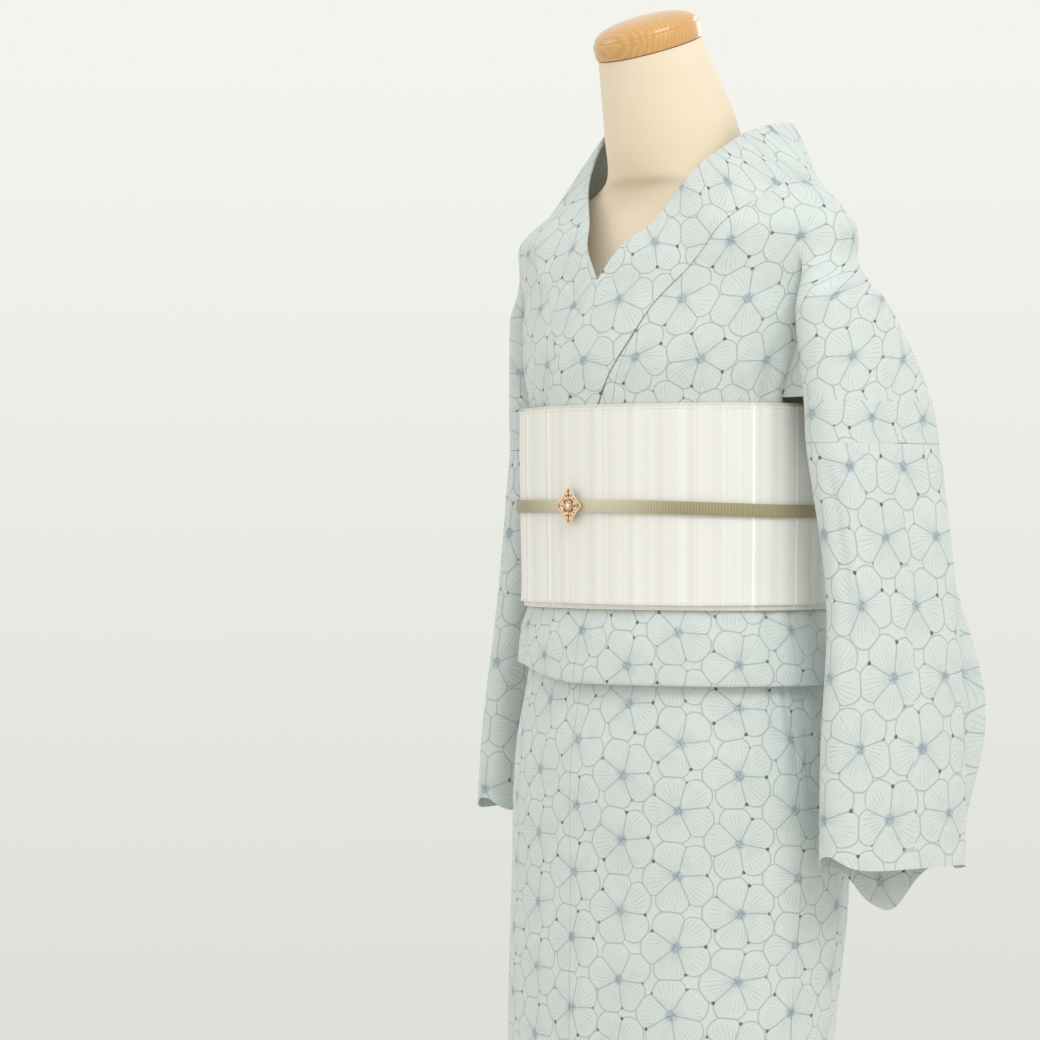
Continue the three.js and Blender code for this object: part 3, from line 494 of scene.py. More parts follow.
def loft(name, rings, material, uv_scale=1.0, sharp=50):
    """A closed body through rings of points that turn counterclockwise seen from above, with flat ends."""
    count = len(rings[0])
    verts = np.concatenate(rings)
    faces, loops = [], []
    heights = np.concatenate(
        [[0], np.cumsum([np.linalg.norm(b[0] - a[0]) for a, b in zip(rings, rings[1:])])]
    )
    for n in range(len(rings) - 1):
        for k in range(count):
            m = (k + 1) % count
            faces.append([n * count + k, n * count + m, (n + 1) * count + m, (n + 1) * count + k])
            u0, u1 = k / count, (k + 1) / count
            v0, v1 = heights[n], heights[n + 1]
            loops += [[u0 * 800, v0], [u1 * 800, v0], [u1 * 800, v1], [u0 * 800, v1]]
    top = (len(rings) - 1) * count
    faces.append([k for k in range(count)][::-1])
    faces.append([top + k for k in range(count)])
    loops += [[0, 0]] * (2 * count)
    return finish_mesh(name, verts, faces, np.array(loops) * uv_scale, material, sharp)


def lathe(name, profile, material, steps=96, sharp=35, tilt=0.0, seat=(0, 0, 0)):
    """A turned body from a profile of radius and height, from its bottom to its top, both off the axis."""
    turns = np.linspace(0, 2 * math.pi, steps, endpoint=False)
    rings = []
    for radius, height in profile:
        y = radius * np.sin(turns)
        placed_y = y * math.cos(tilt) - height * math.sin(tilt)
        placed_z = y * math.sin(tilt) + height * math.cos(tilt)
        rings.append(np.stack([radius * np.cos(turns) + seat[0], placed_y + seat[1], placed_z + seat[2]], 1))
    return loft(name, rings, material, sharp=sharp)


def tube(path, radius, sides=8, closed=False, flatten=1.0, normal=(0, -1, 0)):
    """Points and faces of a round wire along a path; flatten squeezes it along its normal."""
    path = np.asarray(path, float)
    count = len(path)
    ahead = np.roll(path, -1, 0) - np.roll(path, 1, 0)
    if not closed:
        ahead[0], ahead[-1] = path[1] - path[0], path[-1] - path[-2]
    ahead /= np.linalg.norm(ahead, axis=1, keepdims=True)
    normal = np.asarray(normal, float)
    across = np.cross(ahead, normal)
    across /= np.linalg.norm(across, axis=1, keepdims=True)
    radii = np.broadcast_to(radius, count)[:, None, None]
    angles = np.linspace(0, 2 * math.pi, sides, endpoint=False)[None, :, None]
    verts = path[:, None] + radii * (np.cos(angles) * across[:, None] + flatten * np.sin(angles) * normal)
    faces = []
    for n in range(count if closed else count - 1):
        for k in range(sides):
            m, follow = (k + 1) % sides, (n + 1) % count
            faces.append([n * sides + k, follow * sides + k, follow * sides + m, n * sides + m])
    if not closed:
        faces.append([k for k in range(sides)])
        faces.append([(count - 1) * sides + k for k in range(sides)][::-1])
    return verts.reshape(-1, 3), faces


def joined(name, parts, material, sharp=40):
    """One object from several (points, faces) parts, each closed and facing out."""
    verts, faces, start = [], [], 0
    for part_verts, part_faces in parts:
        verts.append(part_verts)
        faces += [[start + k for k in face] for face in part_faces]
        start += len(part_verts)
    piece = finish_mesh(name, np.concatenate(verts), faces, None, material, sharp)
    shape = bmesh.new()
    shape.from_mesh(piece.data)
    bmesh.ops.recalc_face_normals(shape, faces=shape.faces)
    shape.to_mesh(piece.data)
    shape.free()
    return piece


# Materials. Colours are sRGB hex values.
def colour(code):
    """A linear colour from an sRGB hex value."""
    parts = [int(code[n : n + 2], 16) / 255 for n in (1, 3, 5)]
    return (*[p / 12.92 if p <= 0.04045 else ((p + 0.055) / 1.055) ** 2.4 for p in parts], 1.0)


MATH, VECTOR, MIX = "ShaderNodeMath", "ShaderNodeVectorMath", "ShaderNodeMix"


def add(tree, kind, inputs=(), out=0, **settings):
    """Adds a node with its settings, links or sets its inputs, and gives one of its outputs."""
    node = tree.nodes.new(kind)
    for name, value in settings.items():
        setattr(node, name, value)
    for key, value in inputs.items() if isinstance(inputs, dict) else enumerate(inputs):
        if value is None:
            continue
        if isinstance(value, bpy.types.NodeSocket):
            tree.links.new(value, node.inputs[key])
        else:
            node.inputs[key].default_value = value
    return node.outputs[out]


def start_material(name, **finish):
    """A new material with one principled shader, whose constant sockets are set here."""
    material = bpy.data.materials.new(name)
    material.use_nodes = True
    shader = material.node_tree.nodes["Principled BSDF"]
    for socket, value in finish.items():
        shader.inputs[socket.replace("_", " ")].default_value = value
    return material, material.node_tree, shader


# Flower lace. A flower's petals end where its neighbours begin, so the pattern is a lattice of polar shapes.
PETAL = math.pi / 5
TIP_RADIUS, NOTCH_RADIUS = 28.5, 21.5
FLOWER_PITCH, FLOWER_ROW = 52.0, 46.0
VEIN_SPACING = math.radians(12)


def flower_group():
    """How far a point is inside a flower, and from its nearest eyelet, in millimetres."""
    tree = bpy.data.node_groups.new("lace_flower", "ShaderNodeTree")
    for name in ("x", "y", "petal_turn"):
        tree.interface.new_socket(name, in_out="INPUT", socket_type="NodeSocketFloat")
    for name in ("reach", "off_petal", "radius", "eyelet"):
        tree.interface.new_socket(name, in_out="OUTPUT", socket_type="NodeSocketFloat")
    given = tree.nodes.new("NodeGroupInput")
    result = tree.nodes.new("NodeGroupOutput")
    x, y, petal_turn = (given.outputs[name] for name in ("x", "y", "petal_turn"))
    place = add(tree, "ShaderNodeCombineXYZ", (x, y, 0.0))
    radius = add(tree, VECTOR, (place,), out="Value", operation="LENGTH")
    angle = add(tree, MATH, (y, x), operation="ARCTAN2")
    angle = add(tree, MATH, (angle, petal_turn), operation="SUBTRACT")
    off_petal = add(tree, MATH, (angle, PETAL, -PETAL), operation="WRAP")
    off = add(tree, MATH, (off_petal,), operation="ABSOLUTE")
    share = add(tree, MATH, (off, PETAL), operation="DIVIDE")
    share = add(tree, MATH, (share, 2.3), operation="POWER")
    outline = add(tree, MATH, (share, NOTCH_RADIUS - TIP_RADIUS, TIP_RADIUS), operation="MULTIPLY_ADD")
    reach = add(tree, MATH, (radius, outline), operation="DIVIDE")
    to_notch = add(tree, MATH, (PETAL, off), operation="SUBTRACT")
    along = add(tree, MATH, (add(tree, MATH, (to_notch,), operation="COSINE"), radius), operation="MULTIPLY")
    aside = add(tree, MATH, (add(tree, MATH, (to_notch,), operation="SINE"), radius), operation="MULTIPLY")
    along = add(tree, MATH, (along, NOTCH_RADIUS + 0.7), operation="SUBTRACT")
    hole = add(tree, "ShaderNodeCombineXYZ", (along, aside, 0.0))
    eyelet = add(tree, VECTOR, (hole,), out="Value", operation="LENGTH")
    for name, value in (("reach", reach), ("off_petal", off_petal), ("radius", radius), ("eyelet", eyelet)):
        tree.links.new(value, result.inputs[name])
    return tree


def lace(name, petal_turn, look, along=1.0):
    """Embroidered cotton lace: matt, with puffed petals, corded outlines and small eyelets, not cut open but
    painted with the dark shade seen through them.

    along stretches the pattern down the cloth, as on the heavy sleeves."""
    material, tree, shader = start_material(name, Roughness=0.86, Sheen_Weight=0.12, Sheen_Roughness=0.5)
    group = bpy.data.node_groups.get("lace_flower") or flower_group()
    uv = add(tree, "ShaderNodeUVMap", uv_map="cloth")
    wobble = add(tree, "ShaderNodeTexNoise", {"Vector": uv, "Scale": 14.0, "Detail": 1.0}, out="Color")
    wobble = add(tree, VECTOR, (wobble, (0.5, 0.5, 0.5)), operation="SUBTRACT")
    place = add(tree, VECTOR, (uv, (1000.0, 1000.0 / along, 0.0)), operation="MULTIPLY")
    wobble = add(tree, VECTOR, (wobble, (9.0, 9.0, 0.0)), operation="MULTIPLY")
    place = add(tree, VECTOR, (place, wobble), operation="ADD")
    parts = add(tree, "ShaderNodeSeparateXYZ", (place,))
    x, y = parts.node.outputs[0], parts.node.outputs[1]

    # The nearest row of flowers, the row beyond it, and the next flower along the nearest row.
    row = add(tree, MATH, (add(tree, MATH, (y, FLOWER_ROW), operation="DIVIDE"),), operation="ROUND")
    dy = add(tree, MATH, (row, -FLOWER_ROW, y), operation="MULTIPLY_ADD")
    odd = add(tree, MATH, (row, 2.0, 0.0), operation="WRAP")
    shift = add(tree, MATH, (odd, FLOWER_PITCH / 2), operation="MULTIPLY")
    half = FLOWER_PITCH / 2
    dx = add(tree, MATH, (add(tree, MATH, (x, shift), operation="SUBTRACT"), half, -half), operation="WRAP")
    other = add(tree, MATH, (add(tree, MATH, (x, half), operation="SUBTRACT"), shift), operation="SUBTRACT")
    other_dx = add(tree, MATH, (other, half, -half), operation="WRAP")
    up = add(tree, MATH, (dy,), operation="SIGN")
    other_dy = add(tree, MATH, (up, -FLOWER_ROW, dy), operation="MULTIPLY_ADD")
    side = add(tree, MATH, (dx,), operation="SIGN")
    next_dx = add(tree, MATH, (side, -FLOWER_PITCH, dx), operation="MULTIPLY_ADD")
    flowers = []
    for near_x, near_y in ((dx, dy), (other_dx, other_dy), (next_dx, dy)):
        node = tree.nodes.new("ShaderNodeGroup")
        node.node_tree = group
        tree.links.new(near_x, node.inputs["x"])
        tree.links.new(near_y, node.inputs["y"])
        column = add(
            tree, MATH, (add(tree, MATH, (x, near_x), operation="SUBTRACT"), half), operation="DIVIDE"
        )
        line_up = add(
            tree, MATH, (add(tree, MATH, (y, near_y), operation="SUBTRACT"), FLOWER_ROW), operation="DIVIDE"
        )
        column, line_up = (add(tree, MATH, (value,), operation="ROUND") for value in (column, line_up))
        own = add(
            tree,
            "ShaderNodeTexWhiteNoise",
            {"Vector": add(tree, "ShaderNodeCombineXYZ", (column, line_up, 0.0))},
        )
        turned = add(tree, "ShaderNodeMapRange", (own, 0.0, 1.0, petal_turn - 0.16, petal_turn + 0.16))
        tree.links.new(turned, node.inputs["petal_turn"])
        flowers.append(node.outputs)

    # The flower that reaches a point first owns it.
    first, second, third = (outputs["reach"] for outputs in flowers)
    low = add(tree, MATH, (first, second), operation="MINIMUM")
    reach = add(tree, MATH, (low, third), operation="MINIMUM")
    high = add(
        tree, MATH, (add(tree, MATH, (first, second), operation="MAXIMUM"), third), operation="MAXIMUM"
    )
    total = add(tree, MATH, (add(tree, MATH, (first, second), operation="ADD"), third), operation="ADD")
    runner_up = add(
        tree, MATH, (add(tree, MATH, (total, high), operation="SUBTRACT"), reach), operation="SUBTRACT"
    )
    pick_second = add(tree, MATH, (second, first), operation="LESS_THAN")
    pick_third = add(tree, MATH, (third, low), operation="LESS_THAN")
    owned = {}
    for field in ("off_petal", "radius"):
        value = add(
            tree, MIX, {0: pick_second, 2: flowers[0][field], 3: flowers[1][field]}, data_type="FLOAT"
        )
        owned[field] = add(tree, MIX, {0: pick_third, 2: value, 3: flowers[2][field]}, data_type="FLOAT")
    eyelet = add(tree, MATH, (flowers[0]["eyelet"], flowers[1]["eyelet"]), operation="MINIMUM")
    eyelet = add(tree, MATH, (eyelet, flowers[2]["eyelet"]), operation="MINIMUM")
    radius, off = owned["radius"], add(tree, MATH, (owned["off_petal"],), operation="ABSOLUTE")

    # Distances in millimetres to the corded lines, and each line's strength.
    border = add(
        tree, MATH, (add(tree, MATH, (runner_up, reach), operation="SUBTRACT"), 12.0), operation="MULTIPLY"
    )
    beyond = add(tree, "ShaderNodeMapRange", (reach, 1.0, 1.05, 0.0, 4.0))
    border = add(tree, MATH, (border, beyond), operation="ADD")
    outline = add(
        tree, MATH, (add(tree, MATH, (reach, 1.0), operation="SUBTRACT"), 24.0), operation="MULTIPLY"
    )
    outline = add(tree, MATH, (outline,), operation="ABSOLUTE")
    gap = add(tree, MATH, (add(tree, MATH, (PETAL, off), operation="SUBTRACT"),), operation="SINE")
    division = add(tree, MATH, (gap, radius), operation="MULTIPLY")
    division = add(tree, MATH, (division, beyond), operation="ADD")
    nearest = add(tree, MATH, (border, outline), operation="MINIMUM")
    nearest = add(tree, MATH, (nearest, division), operation="MINIMUM")
    line = add(tree, "ShaderNodeMapRange", (nearest, 0.15, 0.7, 1.0, 0.0), interpolation_type="SMOOTHSTEP")
    bowed = add(
        tree, MATH, (add(tree, MATH, (reach, 2.0), operation="POWER"), -0.38, 1.0), operation="MULTIPLY_ADD"
    )
    vein = add(tree, MATH, (owned["off_petal"], bowed), operation="DIVIDE")
    vein = add(tree, MATH, (vein, VEIN_SPACING / 2, -VEIN_SPACING / 2), operation="WRAP")
    vein = add(tree, MATH, (add(tree, MATH, (vein,), operation="ABSOLUTE"), radius), operation="MULTIPLY")
    vein = add(tree, "ShaderNodeMapRange", (vein, 0.1, 0.65, 1.0, 0.0), interpolation_type="SMOOTHSTEP")
    fade = add(tree, "ShaderNodeMapRange", (reach, 0.78, 1.0, 1.0, 0.0), interpolation_type="SMOOTHSTEP")
    uneven = add(tree, "ShaderNodeTexNoise", {"Vector": place, "Scale": 0.09, "Detail": 1.0})
    uneven = add(tree, "ShaderNodeMapRange", (uneven, 0.38, 0.62, 0.25, 1.0))
    vein = add(
        tree, MATH, (add(tree, MATH, (vein, fade), operation="MULTIPLY"), uneven), operation="MULTIPLY"
    )
    # Eyelets are not cut open: painted shade stands for the dark seen through them, and the bump dips there.
    eyelet_shade_and_dip = add(
        tree, "ShaderNodeMapRange", (eyelet, 1.0, 1.75, 1.0, 0.0), interpolation_type="SMOOTHSTEP"
    )
    hole_mix = add(tree, "ShaderNodeTexNoise", {"Vector": place, "Scale": 0.11, "Detail": 0.0})
    hole_mix = add(tree, "ShaderNodeMapRange", (hole_mix, 0.44, 0.58, 0.0, 0.85))
    eyelet_shade_and_dip = add(tree, MATH, (eyelet_shade_and_dip, hole_mix), operation="MULTIPLY")
    knots = add(tree, "ShaderNodeTexVoronoi", {"Vector": place, "Scale": 0.55}, out="Distance")
    knots = add(tree, "ShaderNodeMapRange", (knots, 0.25, 0.6, 0.0, 1.0))
    middle = add(tree, "ShaderNodeMapRange", (radius, 2.6, 5.2, 1.0, 0.0), interpolation_type="SMOOTHSTEP")
    knots = add(tree, MATH, (knots, middle), operation="MULTIPLY")

    # Threads run out from each flower's middle, so the petals keep a fine ribbed nap.
    ribs = add(tree, MATH, (owned["off_petal"], 38.0), operation="MULTIPLY")
    nap = add(tree, "ShaderNodeTexNoise", {"Vector": place, "Scale": 0.9, "Detail": 3.0})
    ribs = add(tree, MATH, (add(tree, MATH, (ribs,), operation="SINE"), 0.5, 0.5), operation="MULTIPLY_ADD")
    patches = add(tree, "ShaderNodeTexNoise", {"Vector": place, "Scale": 0.02, "Detail": 2.0})
    ground = add(
        tree,
        MIX,
        {0: patches, 6: tuple(look.lace_light), 7: tuple(look.lace_ground)},
        out=2,
        data_type="RGBA",
    )
    # Painted shade on the threads: the nap noise darkens the ground towards their shaded side.
    nap_shade_share = add(tree, MATH, (nap, 0.16), operation="MULTIPLY")
    ground = add(tree, MIX, {0: nap_shade_share, 6: ground, 7: tuple(look.lace_shadow)}, out=2, data_type="RGBA")
    line_share = add(tree, MATH, (line, 0.44), operation="MULTIPLY")
    vein_share = add(tree, MATH, (vein, 0.3), operation="MULTIPLY")
    thread = add(tree, MATH, (line_share, vein_share), operation="MAXIMUM")
    knot_share = add(tree, MATH, (knots, 0.75), operation="MULTIPLY")
    stitched = add(tree, MIX, {0: thread, 6: ground, 7: tuple(look.lace_line)}, out=2, data_type="RGBA")
    stitched = add(
        tree, MIX, {0: knot_share, 6: stitched, 7: tuple(look.lace_knot)}, out=2, data_type="RGBA"
    )
    # Painted shade: the eyelets take the dark seen through an open hole.
    eyelet_shaded = add(tree, MIX, {0: eyelet_shade_and_dip, 6: stitched, 7: tuple(look.lace_hole)}, out=2, data_type="RGBA")
    tree.links.new(eyelet_shaded, shader.inputs["Base Color"])
    puff = add(tree, MATH, (reach, 2.0), operation="POWER")
    puff = add(tree, MATH, (puff, -0.9), operation="MULTIPLY")
    height = add(tree, MATH, (line, -0.5, puff), operation="MULTIPLY_ADD")
    height = add(tree, MATH, (vein, -0.22, height), operation="MULTIPLY_ADD")
    height = add(tree, MATH, (knots, 0.35, height), operation="MULTIPLY_ADD")
    height = add(tree, MATH, (ribs, 0.05, height), operation="MULTIPLY_ADD")
    height = add(tree, MATH, (nap, 0.25, height), operation="MULTIPLY_ADD")
    height = add(tree, MATH, (eyelet_shade_and_dip, -0.8, height), operation="MULTIPLY_ADD")
    bump = add(tree, "ShaderNodeBump", {"Height": height, "Strength": 0.7, "Distance": 0.001})
    tree.links.new(bump, shader.inputs["Normal"])
    return material


# The kimono's pieces.
def lattice_below(turn, along):
    """UV of the cloth below the sash, whose flowers stand a quarter turn round from those above."""
    return np.stack(np.broadcast_arrays(along, -WAIST_ARC(turn)), -1)


def station_path():
    """Distance up the lower panels from the fold, for each station."""
    z, skirt, turned = STATIONS["z"], STATIONS["skirt"], STATIONS["turned"]
    steps = np.abs(np.diff(z)) + 6 * np.abs(np.diff(skirt + turned * (1 - skirt)))
    along = np.concatenate([[0], np.cumsum(steps)])
    return FOLD_Z + along[np.argmin(np.abs(z - FOLD_Z) + 9 * (skirt + turned))] - along


BODY_COLS, ARM_COLS, BACK_COLS = 40, 20, 32


def front_body(side, z):
    """Turns and points of a front above the sash, one row for each height."""
    beside_overlap = np.where(z < OVERLAP_POINT_Z, at(OVERLAP_SEAM, z, "x") + 0.2, 0)
    edge = turn_at_x(CHEST, side * np.maximum(at(COLLAR_SEAM, z, "x") + 1.1, beside_overlap), z)
    pit = armpit(True, z)
    turns = spread(edge, pit if side > 0 else math.pi - pit, BODY_COLS)
    under = under_chest(z)[:, None] * ease(0.25, 0.6, RIGHT_SIDE - turns) if side < 0 else 0
    out = -LAYER * under - folds(CHEST_FOLDS, turns, z[:, None])
    return turns, ring(CHEST, turns, z[:, None], out)


def half_body(side, cloth_above, cloth_below):
    """One side's front, drop shoulder and back in one length, from collar to the middle of the back."""
    z = chest_heights()
    rows = len(STATIONS["z"])
    front_turns, front = front_body(side, z)
    own = (lambda turn: turn) if side > 0 else (lambda turn: math.pi - turn)
    back_turns = own(spread(np.full_like(z, -ARMPIT_BACK), np.full_like(z, -math.pi / 2 + 0.0015), BACK_COLS))
    back = ring(CHEST, back_turns, z[:, None], -folds(CHEST_FOLDS, back_turns, z[:, None]))
    low_front_side = np.full(rows, LEFT_SIDE + 0.001 if side > 0 else RIGHT_SIDE - 0.001)
    low_front_turns = spread(ring_turn_at_x(side * (seam_x() + 0.2)), low_front_side, BODY_COLS)
    under = under_side(low_front_turns) if side < 0 else np.zeros_like(low_front_turns)
    low_front = lower_grid(low_front_turns, under)
    back_start = LEFT_SIDE - 0.001 if side > 0 else -0.001
    low_back_turns = own(spread(np.full(rows, back_start), np.full(rows, -math.pi / 2 + 0.0015), BACK_COLS))
    low_back = lower_grid(low_back_turns, np.zeros_like(low_back_turns))
    arm_z = np.concatenate([z, np.maximum(ARM_SLIT_Z - 4 * np.arange(1, rows + 1), ARMHOLE_Z + 0.1)])
    shares = np.linspace(1, 0, ARM_COLS + 1)
    front_arm = shoulder(side, shares[None, 1:], True, arm_z[:, None])
    back_arm = shoulder(side, shares[None, ::-1][:, 1:], False, arm_z[:, None])
    crease = 1.8 * ease(1160, 1200, arm_z) * (1 - ease(1240, 1262, arm_z))
    front_arm[:, :2, 1] += (crease[:, None] * np.array([0.9, 0.2]))
    points = np.concatenate([np.concatenate([front, low_front]), front_arm, back_arm], 1)
    points = np.concatenate([points, np.concatenate([back, low_back])], 1)

    # The flowers run on unbroken round the arm from the armpit.
    pit = np.concatenate([CHEST_ARC(front_turns[:, -1]), np.full(rows, CHEST_ARC(front_turns[-1, -1]))])
    round_arm = np.concatenate([points[:, BODY_COLS : BODY_COLS + 1], front_arm, back_arm], 1)
    steps = np.linalg.norm(np.diff(round_arm[:, :, :2], axis=1), axis=2)
    arm_u = pit[:, None] + side * np.cumsum(steps, 1)
    uv = np.zeros((*points.shape[:2], 2))
    count = len(z)
    uv[:count, : BODY_COLS + 1, 0] = CHEST_ARC(front_turns)
    uv[:, BODY_COLS + 1 : BODY_COLS + 1 + 2 * ARM_COLS, 0] = arm_u
    uv[:count, BODY_COLS + 1 + 2 * ARM_COLS :, 0] = CHEST_ARC(back_turns)
    uv[..., 1] = arm_z[:, None]
    along = station_path()[:, None]
    uv[count:, : BODY_COLS + 1] = lattice_below(low_front_turns, along)
    uv[count:, BODY_COLS + 1 + 2 * ARM_COLS :] = lattice_below(low_back_turns, along)
    uv[count, : BODY_COLS + 1] = np.stack(
        np.broadcast_arrays(CHEST_ARC(low_front_turns[0]), STATIONS["z"][0]), -1
    )
    uv[count, BODY_COLS + 1 + 2 * ARM_COLS :] = np.stack(
        np.broadcast_arrays(CHEST_ARC(low_back_turns[0]), STATIONS["z"][0]), -1
    )

    cells = points.shape[1] - 1
    keep = np.ones((points.shape[0] - 1, cells), bool)
    slit = count - 1
    arm_cells = slice(BODY_COLS + 1, BODY_COLS + 2 * ARM_COLS)
    keep[slit + 9 :, arm_cells] = False
    keep[slit:, [BODY_COLS, BODY_COLS + 2 * ARM_COLS]] = False
    name = "body_left" if side > 0 else "body_right"
    if side < 0:
        points, uv, keep = points[:, ::-1], uv[:, ::-1], keep[:, ::-1]
    piece = cloth(name, points, uv, keep, 1.0, cloth_above, below=(slit + 1, cloth_below))
    return piece


def overlap(side, cloth_above, cloth_below):
    """The panel that widens a front, from the collar to the hem. The left one lies outside."""
    wide, beside_cols = 56, 6
    under = 0.0 if side > 0 else 1.0
    far = FREE_EDGE_TURN if side > 0 else UNDER_EDGE_TURN
    z = np.linspace(OVERLAP_POINT_Z - 7, ARM_SLIT_Z, 13)

    def turns_of(far_turn, beside, outer):
        return np.concatenate([spread(far_turn, beside, wide)[:, :-1], spread(beside, outer, beside_cols)], 1)

    beside = turn_at_x(CHEST, side * (at(COLLAR_SEAM, z, "x") + 1.1), z)
    outer = turn_at_x(CHEST, side * (at(OVERLAP_SEAM, z, "x") - 0.2), z)
    turns = turns_of(np.full_like(z, far), beside, outer)
    high = ring(CHEST, turns, z[:, None], -LAYER * under - folds(CHEST_FOLDS, turns, z[:, None]))
    station_z = STATIONS["z"]
    beside_x = np.where(station_z > 1100, at(COLLAR_SEAM, station_z, "x") + 0.7, seam_x() - 17)
    low_turns = turns_of(
        np.full(len(station_z), far), ring_turn_at_x(side * beside_x), ring_turn_at_x(side * (seam_x() - 0.2))
    )
    low = lower_grid(low_turns, np.full_like(low_turns, under))
    points = np.concatenate([high, low])
    uv = np.zeros((*points.shape[:2], 2))
    uv[: len(z), :, 0] = CHEST_ARC(turns)
    uv[: len(z), :, 1] = z[:, None]
    uv[len(z) :] = lattice_below(low_turns, station_path()[:, None])
    uv[len(z)] = np.stack(np.broadcast_arrays(CHEST_ARC(low_turns[0]), STATIONS["z"][0]), -1)
    keep = np.ones((points.shape[0] - 1, points.shape[1] - 1), bool)
    keep[: len(z) + 2, :wide] = False
    if side < 0:
        points, uv, keep = points[:, ::-1], uv[:, ::-1], keep[:, ::-1]
    name = "overlap_panel_left" if side > 0 else "overlap_panel_right"
    return cloth(name, points, uv, keep, 1.0, cloth_above, below=(len(z), cloth_below))


NAPE_LAP = 5.0


def collar_half(side):
    """Points and UV of one half of the collar band, from the nape down to the sash."""
    stations = np.linspace(0, 11, 89)
    across = np.linspace(0, 1, 15)[None, :]
    ox, oz = at(COLLAR, stations, "ox"), at(COLLAR, stations, "oz")
    rest = np.minimum(oz, NAPE_Z + 1)
    behind = np.where(stations < 4.4, -1, 1)
    under = under_chest(oz) if side < 0 else np.zeros_like(oz)
    over = 0.9 - 2.4 * under
    on_waist, on_chest = turn_at_x(WAIST, ox, rest) * behind, turn_at_x(CHEST, ox, rest) * behind
    low = (oz < 1150)[:, None]
    sewn = np.where(low, ring(WAIST, on_waist, rest, over), ring(CHEST, on_chest, rest, over))
    # Behind the neck the band laps over the body's top edge, so no gap is left at the seam.
    sewn[:, 2] = oz - NAPE_LAP * (1 - ease(4.4, 6, stations))
    edge = "i" if side > 0 else "j"
    stand = point(*(at(COLLAR, stations, edge + axis) for axis in "xyz"))
    p = stand[:, None] + (sewn - stand)[:, None] * across[..., None]
    level = np.minimum(p[..., 2], NAPE_Z)
    away = np.stack([p[..., 0], p[..., 1] - at(CHEST, level, "mid"), np.zeros_like(level)], -1)
    away /= np.maximum(np.linalg.norm(away, axis=-1, keepdims=True), 1e-6)
    bulge = 4 * across * (1 - across) * mix(5, 2.5, ease(2, 5, stations))[:, None]
    p = p + away * bulge[..., None]
    x = mix(stand[:, :1], ox[:, None], across)
    height = mix(stand[:, 2:], oz[:, None], across)
    soft = 1.1 * np.sin(height * 0.055 + 1.2) * np.sin(math.pi * across) * ease(5, 8, stations)[:, None]
    over_grid = (
        np.broadcast_to(over[:, None], x.shape) - soft * 0.6
        - 0.9 * np.exp(-(((across - 0.5) / 0.035) ** 2))
    )
    lower = (height < 1150)[..., None]
    turn_low, turn_high = turn_at_x(WAIST, x, height), turn_at_x(CHEST, x, height)
    laid_on = np.where(
        lower, ring(WAIST, turn_low, height, over_grid), ring(CHEST, turn_high, height, over_grid)
    )
    laid = ease(7, 8, stations)[:, None, None]
    p = p + (laid_on - p) * laid
    turn = np.arctan2(-(p[..., 1] - 4) / 98, p[..., 0] * side / 160)
    uv = np.stack([CHEST_ARC(turn), p[..., 2]], -1)
    p[..., 0] *= side
    return p, uv


def collar_band(material):
    """The collar is one band, folded lengthwise, from end to end round the nape."""
    left, left_uv = collar_half(1)
    right, right_uv = collar_half(-1)
    points = np.concatenate([right[1:][::-1], left])
    uv = np.concatenate([right_uv[1:][::-1], left_uv])
    keep = np.ones((points.shape[0] - 1, points.shape[1] - 1), bool)
    return cloth("collar_band", points, uv, keep, 1.5, material)


SLEEVE_FOLDS = table(
    "angle_a z_a angle_b z_b width depth",
    (-1.25, 1128, -1.05, 930, 0.16, 2.6),
    (-0.80, 1120, -0.70, 860, 0.18, -1.8),
    (-0.35, 1126, -0.45, 900, 0.16, 1.6),
    (0.25, 1128, 0.10, 880, 0.22, 2.0),
    (0.80, 1110, 0.70, 850, 0.20, -1.6),
    (1.45, 1126, 1.60, 900, 0.20, 2.0),
    (2.60, 1120, 2.70, 850, 0.20, 2.4),
    (-2.2, 1120, -2.35, 850, 0.24, 2.2),
)


